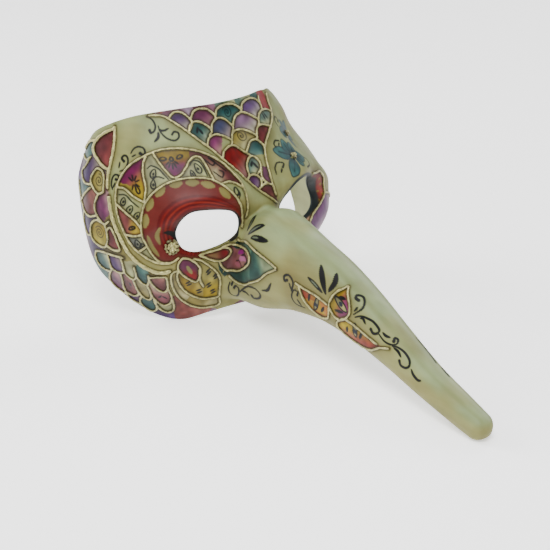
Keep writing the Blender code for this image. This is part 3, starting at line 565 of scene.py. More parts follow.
CRESCENT_EDGE = (96, 28, 34)
SCALLOP = (152, 150, 96)
ARC_OLIVE = (146, 144, 92)
DAB_OLIVE = (150, 152, 96)
EYE_DOTS = (150, 148, 58)
LEAF_TEAL = (26, 66, 62)
LEAF_SEA = (112, 144, 122)
LEAF_END_TEAL = (54, 94, 86)
LEAF_END_SEA = (150, 164, 128)
PETAL_PINK = (128, 76, 80)
PETAL_PALE = (172, 128, 120)
DROP_RED = (138, 34, 40)
DROP_PALE = (146, 116, 84)
MAGENTA = (150, 30, 128)
PINK = (202, 128, 166)
DUSTY_PINK = (164, 100, 112)
LEAF_HEART = (120, 130, 108)
FLOWER_TEAL = (36, 76, 80)
FLOWER_SEA = (84, 122, 118)
FLOWER_LINE = (36, 48, 52)
SEED_SHADE = (128, 126, 92)
SEED_PALE = (178, 170, 120)
SEED_DARK = (34, 40, 50)

# ---- painted cells on the face: place, deep colour, pale colour, way to the pale, reach ----
# The way is in degrees: 0 towards the wearer's left, 90 up, -90 down.

CELLS = [
    # forehead, top row to the bottom one
    (-29, 62, PURPLE, PALE, -80, 5), (-15.5, 61, PLUM, (150, 122, 116), -70, 7),
    (-0.5, 61, TEAL, SEA, -90, 5), (15.5, 60.5, VIOLET, PALE, -80, 5),
    (30.5, 59, (146, 34, 36), (150, 62, 64), 90, 5),
    (-20.5, 56, TEAL, (176, 186, 160), -60, 5), (-7, 55.5, BLUE, (176, 160, 156), -70, 5),
    (7, 55.5, (146, 112, 146), PALE, -70, 5), (20.5, 53.5, SEA, CREAM, -90, 3),
    (-12.5, 48.5, (140, 62, 112), (184, 158, 132), -60, 5), (2, 47, GILT, (190, 188, 146), -80, 4),
    (13.5, 47, MAROON, ROSE, -60, 4), (-7, 40, RED, (146, 104, 100), -70, 6),
    (6.5, 41, TEAL, SEA, -80, 4), (1.5, 31.5, SEA, CREAM, -60, 3), (4.7, 24, PLUM, MAUVE, -90, 4),
    (-1.2, 22.4, (96, 56, 104), LILAC, -50, 4), (3.5, 15.5, MAROON, (126, 84, 78), -60, 4),
    (-26, 67, MAUVE, LILAC, 0, 6), (-13, 67, MAUVE, (166, 130, 150), 0, 8), (0, 66.2, SEA, CREAM, 0, 8),
    (13, 65.6, SEA, CREAM, 0, 6), (24.5, 64, TEAL, SEA, 0, 6),
    # temple
    (-74, 50, MAROON, (140, 74, 72), -30, 8), (-90, 45, TEAL, SEA, -90, 6),
    (-84, 34, (62, 34, 88), (150, 140, 130), 0, 6), (-94, 32, (80, 34, 64), PURPLE, -90, 6),
    (-75, 30, GILT, (184, 176, 116), 0, 5), (-88, 22, TEAL, SEA, -60, 6),
    (-82, 16, MAROON, (142, 92, 84), 20, 7), (-94.5, 14, TEAL, MAROON, -90, 6),
    (-72.5, 14, PLUM, (176, 140, 144), 20, 4), (-84, 0, (60, 36, 82), (84, 58, 104), -90, 6),
    (-92, 4, (58, 36, 78), (84, 38, 68), -90, 8), (-75, -2, (160, 140, 52), (188, 176, 92), -90, 6),
    (-66.5, -3, MAROON, ROSE, -60, 5), (-84.5, -12, (78, 54, 100), (60, 36, 82), -90, 6),
    # cheek
    (-75, -20, TEAL, (176, 186, 156), 20, 5), (-66.5, -19, PURPLE, (158, 132, 142), 20, 4),
    (-59.8, -22, CREAM, GROUND, -90, 4), (-54.6, -25, TEAL, SEA, 40, 5),
    (-72, -35, PLUM, (178, 132, 128), 30, 6), (-64, -35, MAROON, (158, 96, 88), 0, 5),
    (-57.4, -38, (160, 148, 92), (196, 190, 142), 0, 4), (-48.4, -31, MAROON, (168, 116, 108), 60, 6),
    (-49.8, -44, (156, 84, 96), (206, 178, 152), 80, 5), (-49.4, -54.6, CREAM, PALE, 90, 4),
    (-58.6, -52, TEAL, (104, 132, 124), 70, 6), (-66, -47.6, PURPLE, MAUVE, 30, 4),
    (-80, -30, TEAL, SEA, -60, 8), (-76.5, -43.5, MAUVE, SALMON, -60, 6),
    (-69, -52.5, TEAL, SEA, -60, 5), (-55, -60.8, PURPLE, VIOLET, 0, 5),
    (-37, -58.5, (148, 80, 74), (166, 104, 96), 0, 8), (-88, -14, MAROON, MAUVE, -90, 6),
    # panels round the eye
    (-57, 32, (124, 36, 88), (184, 160, 64), -52, 6), (-46.6, 36, CREAM, GROUND, 0, 4),
    (-37.5, 42.5, (164, 138, 8), (106, 30, 80), -90, 3.0), (-27.5, 36.5, CREAM, GROUND, 0, 4),
    (-19, 40, MAROON, (186, 180, 142), -110, 6), (-15.5, 32, MAROON, (186, 180, 142), 180, 5),
    (-60, 20, CREAM, GROUND, 0, 4), (-57.6, 6, (160, 92, 92), (196, 172, 88), 0, 3),
    (-55.4, -5, GREY, CREAM, 0, 4), (-51.6, -11, CREAM, GROUND, 0, 4),
    (-50.5, 44.5, GROUND, GROUND, 0, 4), (-58.5, 26.5, (196, 176, 92), YELLOW, 0, 3),
    # strips between the carved ridge and the ring
    (-66, 8, STRIP_DARK, STRIP_PALE, 90, 14), (-62, -11, STRIP_DARK, STRIP_PALE, 0, 8),
    (-48, -24.4, STRIP_DARK, STRIP_PALE, 0, 5),
    # petals under the eye
    (-32.5, -36, (178, 146, 52), (204, 192, 128), 20, 8),
    (-25.5, -38, (196, 186, 116), (176, 152, 60), -90, 8),
    (-35, -22, (112, 50, 84), (150, 24, 24), -100, 4),
    (-41.5, -38, (184, 172, 116), (204, 196, 150), -60, 5),
    (-30, -52, (176, 162, 100), (206, 198, 148), -60, 5),
    (-22, -18.6, (134, 34, 42), (150, 112, 84), 180, 4),
    (-15.5, -20, MAROON, (150, 90, 112), 0, 5),
    # wearer's left eye and cheek
    (43.4, 0, RED, (158, 62, 48), 0, 5), (29.5, -17, SALMON, PEACH, 0, 5),
    (40, -22, (126, 74, 128), (176, 140, 160), -60, 8), (54, -24, (178, 140, 160), PEACH, -60, 8),
]
# places left in the ground coat
PLAIN = [(-52, 56), (-66, 48), (6, 30), (-87, 51.6), (-78, 56.6), (-11, 14), (40, 52), (30, 46), (22, 42),
         (-9, 45.5), (-8, 28), (20, 20), (40, 20), (60, 20), (80, 10), (70, -20), (30, -40), (18, -57),
         (60, 45), (-21, -34), (-5, 3), (-19, -45), (-11.5, -7.5), (52, 57), (-44.5, -26), (-53.8, 20.8),
         (-15, -12)]
# where paint meets paint with no gold between
PAINT_EDGES = [((28, 63.2), (29.6, 66)), ((-69.3, 26.4), (-68.6, 22.5)), ((45, 60.4), (48, 63)),
               ((6, 12.5), (6.6, 7.4)), ((4.4, 29.4), (5.6, 29.8), (7, 28.6))]
CRESCENT = [(-46, 14), (-47, -5), (-44, -12), (-30, 24), (-16, 14), (-12.5, 6)]   # places inside the red

# ---- which painted cell each place on the face belongs to ---------------------------------

GRID = 0.35                     # millimetres
MAP_LEFT = -106 * CHART_STRETCH
MAP_LOW = -70
MAP_SIZE = (int(210 * CHART_STRETCH / GRID), int(142 / GRID))
HALF_LINE = 0.55                # a relief line keeps paint apart this far from its middle
FACE_FRONT = -88                # what lies further forward is on the nose
FILL_ROUNDS = 420               # enough for the longest cell


def map_index(turn, z):
    i = ((np.asarray(turn) * CHART_STRETCH - MAP_LEFT) / GRID).astype(int)
    j = ((np.asarray(z) - MAP_LOW) / GRID).astype(int)
    return np.clip(i, 0, MAP_SIZE[0] - 1), np.clip(j, 0, MAP_SIZE[1] - 1)


def spread(label, free, rounds):
    """Grow every label over the free squares, one square a round."""
    for number in range(rounds):
        before = label
        label = label.copy()
        shifts = ((1, 0), (-1, 0), (0, 1), (0, -1))
        if number % 3 == 0:
            shifts += ((1, 1), (1, -1), (-1, 1), (-1, -1))
        for di, dj in shifts:
            moved = np.roll(before, (di, dj), (0, 1))
            take = (label == 0) & free & (moved > 0)
            label[take] = moved[take]
    return label


EYES = {-1: spline(EYE_RIGHT, True, 14), 1: spline(EYE_LEFT, True, 14)}

on_chart = []                   # relief lines on the face, in degrees round and height
laid_lines = []                 # every relief line: name, points, closed
for relief_name, routes in RELIEFS.items():
    for route, closed in routes:
        dense = resample(spline(route, closed, 10), 0.3, closed)
        laid_lines.append((relief_name, dense, closed))
        on_chart.append(chart_of(dense[dense[:, 1] > FACE_FRONT]))
chart_points = np.vstack(on_chart)
edge_points = np.vstack([chart_points] + [resample(edge, 0.2) for edge in PAINT_EDGES])

barrier = np.zeros(MAP_SIZE, bool)
reach = int(HALF_LINE / GRID) + 1
for di in range(-reach, reach + 1):
    for dj in range(-reach, reach + 1):
        if math.hypot(di, dj) * GRID <= HALF_LINE:
            i, j = map_index(edge_points[:, 0], edge_points[:, 1])
            barrier[np.clip(i + di, 0, MAP_SIZE[0] - 1), np.clip(j + dj, 0, MAP_SIZE[1] - 1)] = True
map_turn, map_z = np.meshgrid((MAP_LEFT + (np.arange(MAP_SIZE[0]) + 0.5) * GRID) / CHART_STRETCH,
                              MAP_LOW + (np.arange(MAP_SIZE[1]) + 0.5) * GRID, indexing="ij")
for loop in EYES.values():
    barrier |= inside(loop, map_turn, map_z)

PLAIN_LABEL = 1
CRESCENT_LABEL = 2
FIRST_CELL = 3
labels = np.zeros(MAP_SIZE, int)
for turn, z in PLAIN:
    labels[map_index(turn, z)] = PLAIN_LABEL
for turn, z in CRESCENT:
    labels[map_index(turn, z)] = CRESCENT_LABEL
for number, cell in enumerate(CELLS):
    labels[map_index(cell[0], cell[1])] = FIRST_CELL + number
labels = spread(labels, ~barrier, FILL_ROUNDS)
labels = spread(labels, np.ones(MAP_SIZE, bool), 5)   # and on under the gold lines

# ---- skin meshes -----------------------------------------------------------------------

FINE = 0.5                      # spacing of skin points outside, where the painting is
INNER = 2.0                     # and inside
INNER_STEP = 4                  # outer points of the flare and nose for each inner one
PLAIN_LEFT = 34                 # further round than this the paint is plain, and a quarter will do
RIM_POINTS = 880
AROUND = 300                    # points round the root of the nose
FLARE_ROWS = 58
LIP_ROWS = 3
LIP_BULGE = 0.55


def between_loops(loops, turn, z):
    """Whether places lie within the first outline and outside all the others."""
    keep = inside(loops[0], turn, z)
    for loop in loops[1:]:
        keep &= ~inside(loop, turn, z)
    return keep


def sheet(loops, pitch, thin_left):
    """Triangles between the rim, eye holes and nose root, as (degrees, height)."""
    x = np.arange(-104 * CHART_STRETCH, 100 * CHART_STRETCH, pitch)
    z = np.arange(-68, 72, pitch * 0.87)
    gx, gz = np.meshgrid(x, z, indexing="ij")
    gx[:, ::2] += pitch / 2
    turn = gx.ravel() / CHART_STRETCH
    z = gz.ravel()
    if thin_left:
        column = np.repeat(np.arange(len(x)), gz.shape[1])
        row = np.tile(np.arange(gz.shape[1]), len(x))
        sparse = (column % 2 == 0) & (row % 2 == 0)
        keep = sparse | (turn < PLAIN_LEFT)
        turn = turn[keep]
        z = z[keep]
    keep = between_loops(loops, turn, z)
    turn = turn[keep]
    z = z[keep]
    edge = np.vstack(loops)
    room = distances(tree_of(unrolled(*edge.T)), unrolled(turn, z))
    keep = room > pitch * 0.62
    points = np.vstack([edge, np.stack([turn[keep], z[keep]], -1)])
    borders = []
    first = 0
    for loop in loops:
        count = len(loop)
        borders += [(first + k, first + (k + 1) % count) for k in range(count)]
        first += count
    flat = [Vector((a * CHART_STRETCH, b)) for a, b in points]
    made, _, faces, origin, _, _ = delaunay_2d_cdt(flat, borders, [], 1, 1e-6)
    place = np.zeros(len(points), int)
    for new, old in enumerate(origin):
        for k in old:
            place[k] = new
    plane = np.array([(p[0] / CHART_STRETCH, p[1]) for p in made])
    faces = np.array(faces)
    centre = plane[faces].mean(1)
    faces = faces[between_loops(loops, centre[:, 0], centre[:, 1])]
    used = []
    first = 0
    for loop in loops:
        used.append(place[first:first + len(loop)])
        first += len(loop)
    return plane, faces, used


class Skin:
    """Points, faces and painting facts of one moulded piece."""

    def __init__(self):
        self.points = []
        self.normals = []
        self.turn = []
        self.z = []
        self.side = []
        self.faces = []
        self.count = 0

    def add(self, points, normals, turn, z, side):
        points = np.asarray(points)
        first = self.count
        self.points.append(points)
        self.normals.append(normals)
        self.turn.append(np.broadcast_to(turn, len(points)))
        self.z.append(np.broadcast_to(z, len(points)))
        self.side.append(np.full(len(points), side))
        self.count += len(points)
        return np.arange(first, self.count)

    def quads(self, first, second, closed=True):
        count = len(first)
        for j in range(count if closed else count - 1):
            k = (j + 1) % count
            self.faces.append((first[j], first[k], second[k], second[j]))

    def lip(self, outer, inner, around_hole=False):
        """Rounded edge between an outer and an inner loop."""
        points = np.vstack(self.points)
        normals = np.vstack(self.normals)
        a = points[outer]
        b = points[inner]
        ahead = np.roll(a, -1, 0) - np.roll(a, 1, 0)
        out = np.cross(ahead, normals[outer])
        out /= np.linalg.norm(out, axis=1, keepdims=True)
        middle = (a + b) / 2
        away = (out * (middle - middle.mean(0))).sum(1).mean()
        if (away > 0) == around_hole:
            out = -out
        last = outer
        for k in range(1, LIP_ROWS + 1):
            angle = math.pi * k / (LIP_ROWS + 1)
            row = middle + (a - middle) * math.cos(angle) + out * LIP_BULGE * math.sin(angle)
            turned = normals[outer] * math.cos(angle) + out * math.sin(angle)
            new = self.add(row, turned, np.hstack(self.turn)[outer], np.hstack(self.z)[outer], LIP)
            self.quads(last, new)
            last = new
        self.quads(last, inner)


OUTER = 0
INSIDE = 1
LIP = 2


def signed(loop):
    """Loop turned so that it runs with the surface on its left."""
    x, y = loop.T
    area = (x * np.roll(y, -1) - np.roll(x, -1) * y).sum()
    return loop if area > 0 else loop[::-1]


around = np.arange(AROUND) * 360.0 / AROUND
rim_loop = np.stack(chart(np.arange(RIM_POINTS) * 360.0 / RIM_POINTS, 1.0), -1)[::-1]
root_loop = np.stack(chart(around, 0.0), -1)
eye_loops = [signed(loop)[::-1] for loop in EYES.values()]
loops = [rim_loop, root_loop] + eye_loops

face_skin = Skin()
plane, triangles, borders = sheet(loops, FINE, True)
spots = face(plane[:, 0], plane[:, 1])
normals = face_normal(plane[:, 0], plane[:, 1])
ids = face_skin.add(spots, normals, plane[:, 0], plane[:, 1], OUTER)
face_skin.faces += [tuple(ids[t]) for t in triangles]
outer_borders = [ids[b] for b in borders]
plane, triangles, borders = sheet(loops, INNER, False)
spots = face(plane[:, 0], plane[:, 1])
normals = face_normal(plane[:, 0], plane[:, 1])
ids = face_skin.add(spots - normals * WALL, -normals, plane[:, 0], plane[:, 1], INSIDE)
face_skin.faces += [tuple(ids[t[::-1]]) for t in triangles]
inner_borders = [ids[b] for b in borders]
face_skin.lip(outer_borders[0], inner_borders[0])
for outer, inner in zip(outer_borders[2:], inner_borders[2:]):
    face_skin.lip(outer, inner, around_hole=True)

ROOT_TURN = 0.0                 # painting facts of points off the face chart
ROOT_Z = 200.0
last_outer = outer_borders[1]
last_inner = inner_borders[1]
for row in range(1, FLARE_ROWS + 1):
    u = np.full(AROUND, 1 + row / FLARE_ROWS)
    n = skin_normal(u, around)
    p = skin(u, around)
    new = face_skin.add(p, n, ROOT_TURN, ROOT_Z, OUTER)
    face_skin.quads(last_outer, new)
    last_outer = new
    if row % INNER_STEP == 0 or row == FLARE_ROWS:
        new = face_skin.add(p - n * WALL, -n, ROOT_TURN, ROOT_Z, INSIDE)
        face_skin.quads(new, last_inner)
        last_inner = new
face_skin.quads(last_outer, last_inner)

nose_skin = Skin()
FINE_END = 2.76
fine_rows = np.linspace(2.0, FINE_END, 270)
far_rows = np.linspace(FINE_END, 3.0, 62)[1:]
tip_rows = 3 + np.linspace(0, 1, 15)[1:-1]


def nose_wall(rows, side, count, depth):
    """Rings of points down the nose, so deep below its outer surface."""
    angles = np.arange(count) * 360.0 / count
    found = []
    for u in rows:
        u = np.full(count, u)
        n = skin_normal(u, angles)
        found.append(nose_skin.add(skin(u, angles) - n * depth, n if depth == 0 else -n,
                                   ROOT_TURN, ROOT_Z, side))
    return found


outer = nose_wall(np.concatenate([fine_rows, far_rows, tip_rows]), OUTER, AROUND, 0)
for a, b in zip(outer, outer[1:]):
    nose_skin.quads(a, b)
inner_rows = np.concatenate([np.linspace(2.0, 3.0, 60), tip_rows[:8:2]])
inner = nose_wall(inner_rows, INSIDE, AROUND // INNER_STEP, WALL)
for a, b in zip(inner, inner[1:]):
    nose_skin.quads(b, a)
tip = skin(np.array([4.0]), np.array([0.0]))
forward = tip[0] - np.vstack(nose_skin.points)[outer[-1]].mean(0)
forward /= np.linalg.norm(forward)
end = nose_skin.add(tip, forward[None], ROOT_TURN, ROOT_Z, OUTER)[0]
end_inside = nose_skin.add(tip - forward * WALL, -forward[None], ROOT_TURN, ROOT_Z, INSIDE)[0]
for j in range(AROUND):
    nose_skin.faces.append((outer[-1][j], outer[-1][(j + 1) % AROUND], end))
for j in range(AROUND // INNER_STEP):
    k = (j + 1) % (AROUND // INNER_STEP)
    nose_skin.faces.append((inner[-1][k], inner[-1][j], end_inside))
    for a in range(INNER_STEP * j, INNER_STEP * (j + 1)):
        nose_skin.faces.append((outer[0][(a + 1) % AROUND], outer[0][a], inner[0][j]))
    nose_skin.faces.append((outer[0][INNER_STEP * (j + 1) % AROUND], inner[0][j], inner[0][k]))

# ---- painting --------------------------------------------------------------------------


def mix(base, colour, share):
    """Colours moved by a share towards a palette colour."""
    share = np.asarray(share)[..., None]
    return base * (1 - share) + np.asarray(colour, float) / 255 * share


def blotches(points, size):
    """Smooth uneven patches, 0 to 1, about so many millimetres across in each direction."""
    p = points / np.array(size)
    total = 0
    for k, way in enumerate(((1.0, 0.3, 0.5), (-0.4, 0.9, 0.7), (0.6, -0.5, 1.0), (0.9, 0.8, -0.3))):
        bend = 1.4 * np.sin(p @ np.roll(way, 1) * 1.7 + 1.3 * k)
        total = total + np.sin(p @ np.array(way) * 3.1 + bend + 2.2 * k)
    return 0.5 + total / 6


GOLD_LINE_TREE = tree_of(np.vstack([line[::2] for _, line, _ in laid_lines]))
NEAR_GOLD_LIMIT = 7.0               # millimetres from a gold line that still matter
BLEED = 0.2                     # how far a brush line spreads past its drawn edge
BRUSH_STEP = 0.14
EDGE_SPAN = (0.8, 2.2)          # painted shade darkens the paint this near to a gold line
MOTTLE = (3, 3, 5)              # size of the uneven patches in a painted cell


class Painter:
    """Colours one skin, point by point, in the worn frame."""

    def __init__(self, skin_facts):
        self.points = np.vstack(skin_facts.points)
        self.normals = np.vstack(skin_facts.normals)
        self.turn = np.hstack(skin_facts.turn)
        self.z = np.hstack(skin_facts.z)
        self.side = np.hstack(skin_facts.side)
        self.outside = self.side == OUTER
        self.colour = self.ground()
        self.gloss = np.zeros(len(self.points))
        self.near = np.full(len(self.points), NEAR_GOLD_LIMIT)
        self.ids = np.nonzero(self.outside)[0]
        for k in self.ids:
            self.near[k] = min(NEAR_GOLD_LIMIT, GOLD_LINE_TREE.find(self.points[k])[2])

    def ground(self):
        """Aged ground coat with blotches and streaks; paler and greener where it faces up and tan on the
        sides, as painted light from above; on the nose, a painted reflection along the top edge and painted
        shade beside it and down one flank.
        """
        # paler, greener coat where the surface faces up: painted light from above
        up = smooth(-0.1, 0.85, self.normals[:, 2])
        coat = mix(np.tile(np.array(TAN) / 255, (len(up), 1)), GREEN, up)
        coat = mix(coat, OCHRE, 0.26 * smooth(0.55, 0.9, blotches(self.points, (26, 26, 26))))
        coat = mix(coat, UMBER, 0.20 * smooth(0.5, 0.9, blotches(self.points, (9, 60, 9))))
        coat = mix(coat, MOSS, 0.16 * smooth(0.5, 0.85, blotches(self.points, (5, 34, 6))))
        on_nose_side = smooth(-112, -124, self.points[:, 1])
        # pale band along the top edge of the nose: painted reflection
        ridge = hump(self.normals[:, 0], 0.22, 0.2) * smooth(0.4, 0.8, self.normals[:, 2])
        # darker moss line beside that band: painted shade
        shade = hump(self.normals[:, 0], -0.22, 0.16) * smooth(0.4, 0.8, self.normals[:, 2])
        coat = mix(coat, MOSS, 0.35 * shade * on_nose_side)
        # darker umber down the nose's flank on the wearer's right: painted shade
        shaded_flank = smooth(-0.35, -0.8, self.normals[:, 0]) * smooth(-215, -150, self.points[:, 1])
        coat = mix(coat, UMBER, 0.42 * shaded_flank * on_nose_side)
        return mix(coat, NOSE_REFLECTION, 0.55 * ridge * on_nose_side)

    def fill(self, at, deep, pale, share):
        """Paint points from a deep colour (share 0) to a pale one (share 1)."""
        self.colour[at] = (np.asarray(deep, float) / 255 * 0.86 * (1 - share[:, None])
                           + np.asarray(pale, float) / 255 * share[:, None])

    def shade_edges_and_mottle(self, at, deep, strength, gloss):
        """Painted shade darkening the edges beside the raised gold, uneven paint and varnish on a filled
        area.
        """
        edge = 1 - smooth(*EDGE_SPAN, self.near[at])
        self.colour[at] = mix(self.colour[at], np.array(deep) * 0.4, edge * strength)
        self.colour[at] *= (0.86 + 0.26 * blotches(self.points[at], MOTTLE))[:, None]
        self.gloss[at] = gloss

    def cells(self):
        """Every painted cell of the face, from its deep colour to its pale one."""
        where_face = self.ids[self.z[self.ids] < ROOT_Z - 1]
        label = labels[map_index(self.turn[where_face], self.z[where_face])]
        for number, (_, _, deep, pale, way, size) in enumerate(CELLS):
            at = where_face[label == FIRST_CELL + number]
            a = math.radians(way)
            along = ((self.turn[at] - self.turn[at].mean()) * CHART_STRETCH * math.cos(a)
                     + (self.z[at] - self.z[at].mean()) * math.sin(a))
            self.fill(at, deep, pale, smooth(-size * 0.55, size * 1.25, along))
            # painted shade along the gold, mottled paint and varnish
            self.shade_edges_and_mottle(at, deep, 0.75, 1)
        self.crescent(where_face[label == CRESCENT_LABEL])

    def crescent(self, at):
        """Red crescent round the wearer's right eye: mauve outside, brick arcs within."""
        places = unrolled(self.turn[at], self.z[at])
        to_hole = distances(tree_of(unrolled(*EYES[-1].T)), places)
        to_ring = distances(tree_of(unrolled(*chart_points.T)), places)
        f = to_hole / (to_hole + to_ring)
        self.fill(at, CRESCENT_RED, CRESCENT_MAUVE, smooth(0.52, 0.57, f))
        # lighter arcs of the swirl, painted as highlights on the glaze
        for middle, width, strength in ((0.20, 0.035, 0.45), (0.33, 0.03, 0.6), (0.45, 0.03, 0.35)):
            self.colour[at] = mix(self.colour[at], CRESCENT_HIGHLIGHT, hump(f, middle, width) * strength)
        # dark arcs of the swirl; the widest, at the eye hole, is painted shade in the deep socket
        for middle, width in ((0.05, 0.07), (0.265, 0.03), (0.39, 0.025), (0.53, 0.025)):
            self.colour[at] = mix(self.colour[at], CRESCENT_DARK, hump(f, middle, width) * 0.55)
        self.colour[at] = mix(self.colour[at], CRESCENT_EDGE, hump(f, 0.95, 0.07) * 0.6)
        self.gloss[at] = 1

    def patch(self, outline, deep, pale, way, size, gloss=1.0):
        """Fill an outline given as places on the surface; way is a place the pale end lies towards."""
        loop = np.array(spline(outline, True, 10))
        centre = loop.mean(0)
        spread_out = loop - centre
        _, _, axes = np.linalg.svd(spread_out)
        flat_loop = spread_out @ axes[:2].T
        radius = np.linalg.norm(spread_out, axis=1).max() + 2
        offset = self.points - centre
        away = np.linalg.norm(offset[self.ids], axis=1)
        nearest = self.ids[np.argmin(away)]
        outward = axes[2] * np.sign(self.normals[nearest] @ axes[2])
        at = self.ids[away < radius]
        at = at[self.normals[at] @ outward > 0.25]
        flat = offset[at] @ axes[:2].T
        at = at[inside(flat_loop, flat[:, 0], flat[:, 1])]
        toward = np.asarray(way, float) - centre
        toward /= np.linalg.norm(toward)
        self.fill(at, deep, pale, smooth(-size, size, offset[at] @ toward))
        # painted shade along the gold, mottled paint and varnish
        self.shade_edges_and_mottle(at, deep, 0.7, gloss)

    def strokes(self, lines, colour, strength=1.0, only=None):
        """Brush lines: (width or widths at start, middle and end, places on the surface)."""
        spots = []
        radii = []
        for width, route in lines:
            line = resample(spline(route, False, 10), BRUSH_STEP)
            start, middle, end = width if isinstance(width, tuple) else (width * 0.4, width, width * 0.4)
            along = np.linspace(0, 1, len(line))
            belly = np.sin(math.pi * along) ** 0.6
            spots.append(line)
            radii.append((np.where(along < 0.5, start, end) * (1 - belly) + middle * belly) / 2 + BLEED)
        spots = np.vstack(spots)
        radii = np.hstack(radii)
        low = spots.min(0) - 2
        high = spots.max(0) + 2
        tree = tree_of(spots)
        at = self.ids if only is None else only
        p = self.points[at]
        at = at[((p > low) & (p < high)).all(1)]
        for k in at:
            _, n, d = tree.find(self.points[k])
            if d < radii[n] + 0.3:
                share = min(1.0, max(0.0, (radii[n] - d) / 0.4 + 0.5)) * strength
                self.colour[k] = self.colour[k] * (1 - share) + np.array(colour) / 255 * share

    def shade_and_wash_beside_relief(self):
        """Dark olive beside the relief lines and beside the forehead border on the wearer's left: painted
        shade at the foot of the raised lines, together with the dark wash in the grooves.
        """
        at = self.ids
        near = self.near[at]
        plain = self.gloss[at] == 0
        # painted shade and dark wash, strongest at the foot of the gold lines
        shade_and_wash = np.exp(-np.clip(near - 0.8, 0, None) / 0.8) * np.where(plain, 0.85, 0.6)
        shade_and_wash = np.maximum(shade_and_wash, 0.34 * plain * np.exp(-near / 3.0))
        turn = self.turn[at]
        z = self.z[at]
        # wider darkening by the forehead border on the wearer's left: painted shade of the groove there,
        # with wash
        beside_border = np.exp(-np.clip(near - 1, 0, None) / 5) * smooth(5, 9, turn) * smooth(8, 16, z)
        shade_and_wash = np.maximum(shade_and_wash, np.where(plain & (z < ROOT_Z - 1), 0.55 * beside_border, 0))
        self.colour[at] = mix(self.colour[at], DARK_OLIVE, shade_and_wash)

    def rims(self):
        """Dark paint inside the eye holes and their edges."""
        at = np.nonzero((self.z < ROOT_Z - 1) & (self.side != INSIDE))[0]
        for side, loop in EYES.items():
            near = distances(tree_of(unrolled(*loop.T)), unrolled(self.turn[at], self.z[at]))
            wide = 0.8 if side < 0 else 1.4
            band = hump(self.turn[at], 41, 3.5)
            soft = 1 - smooth(wide * 0.6 + 2.2 * band, wide * 1.7 + 3.0 * band, near)
            above = smooth(-11, -5, self.z[at]) if side < 0 else 1.0
            share = np.where(self.side[at] == LIP, (near < 0.4) * 1.0, soft * above)
            smoke = np.tile(np.array(DARK_OLIVE) / 255, (len(at), 1))
            dark = mix(smoke, RIM_BLACK, above * np.ones(len(at)))
            share = (share * 0.94)[:, None]
            self.colour[at] = self.colour[at] * (1 - share) + dark * share

    def lining(self):
        """Plain pale inside."""
        within = self.side == INSIDE
        self.colour[within] = np.array(LINING) / 255


def teardrop(place, width, tall, wide, lean=0):
    """Small teardrop brush loop round a place of the face."""
    ring_line = []
    for a in np.linspace(0, 2 * math.pi, 13):
        across = math.sin(a) * wide * (1 - 0.35 * math.cos(a))
        ring_line.append(beside(place, lean, across, math.cos(a) * tall))
    return (width, on_face(*ring_line))


def dab(place, lean, reach, width):
    """Short straight dab, reaching equally far to both sides of a place."""
    return (width, on_face(*[beside(place, lean, k * reach) for k in (-1, 0, 1)]))


def spiral(turn, z, size, turns, start):
    """Thin spiral of so many turns, begun at an angle in radians."""
    line = []
    for k in np.linspace(0, 1, 40):
        a = start + k * turns * 2 * math.pi
        r = size * k
        line.append((turn + r * math.cos(a) / CHART_STRETCH, z + r * math.sin(a)))
    return (0.1, on_face(*line))


# (start, middle and end width, places on the face)
INK_ON_FACE = [
    # forehead scrolls
    ((0.3, 0.7, 1.5), on_face((-47.2, 66), (-44, 64.4), (-42.4, 61.2), (-43.2, 58.4), (-45.2, 57.4),
            (-45.8, 58.8))),
    ((0.4, 1.5, 0.2), on_face((-41.2, 57.4), (-41.6, 54.8), (-43.8, 52.6))),
    ((0.3, 0.7, 0.9), on_face((-40.8, 60.8), (-40, 57.6), (-37.2, 54), (-33.6, 52.4), (-31.2, 53.6),
            (-30.8, 56), (-32.8, 56.9), (-34.2, 55.6))),
    ((0.2, 1.1, 0.2), on_face((-40.4, 59), (-38.4, 58), (-35.4, 59))),
    ((0.3, 0.7, 1.6), on_face((-56.8, 46.8), (-55.2, 49.2), (-52.8, 50.4), (-50, 49.6), (-49.2, 47.2),
            (-50.4, 46), (-51.8, 46.8))),
    ((0.2, 0.6, 0.2), on_face((-56.2, 45), (-54.2, 46.1))),
    ((0.3, 0.7, 1.4), on_face((-62.8, 36.8), (-60, 38.4), (-58.4, 42), (-58.8, 44.8), (-60.4, 45.6),
            (-61.8, 44), (-60.6, 42.4))),
    ((0.2, 0.7, 0.2), on_face((-62.8, 41.8), (-63.3, 38.6))),
    ((0.3, 0.7, 1.3), on_face((-66.8, 26.4), (-67.4, 29), (-66.8, 32.8), (-65.2, 34.8), (-63.4, 34.2),
            (-63.8, 32), (-65, 32.2))),
    ((0.2, 0.8, 0.2), on_face((-65.4, 30.2), (-66.6, 27.4))),
    # beside the petal flowers on the left of the forehead
    ((0.3, 0.6, 1.0), on_face((22, 35.6), (17.6, 35.6), (16, 38.4), (18, 40), (20.6, 39))),
    ((0.2, 0.8, 0.2), on_face((18.4, 37), (20, 38.2))),
    ((0.3, 0.6, 1.0), on_face((8.8, 24.4), (9.6, 27.6), (12, 29.8), (14.6, 28.6), (13, 26.8))),
    ((0.2, 0.8, 0.2), on_face((11, 24.6), (12.4, 26.4))),
    ((0.3, 0.6, 1.0), on_face((30.4, 26.4), (33.4, 23.2), (32.4, 20.4), (28.6, 20.6))),
    ((0.3, 0.6, 1.0), on_face((28.4, 44.6), (28.8, 48.4), (32.6, 49.4), (34, 47.2), (32, 46.2))),
]

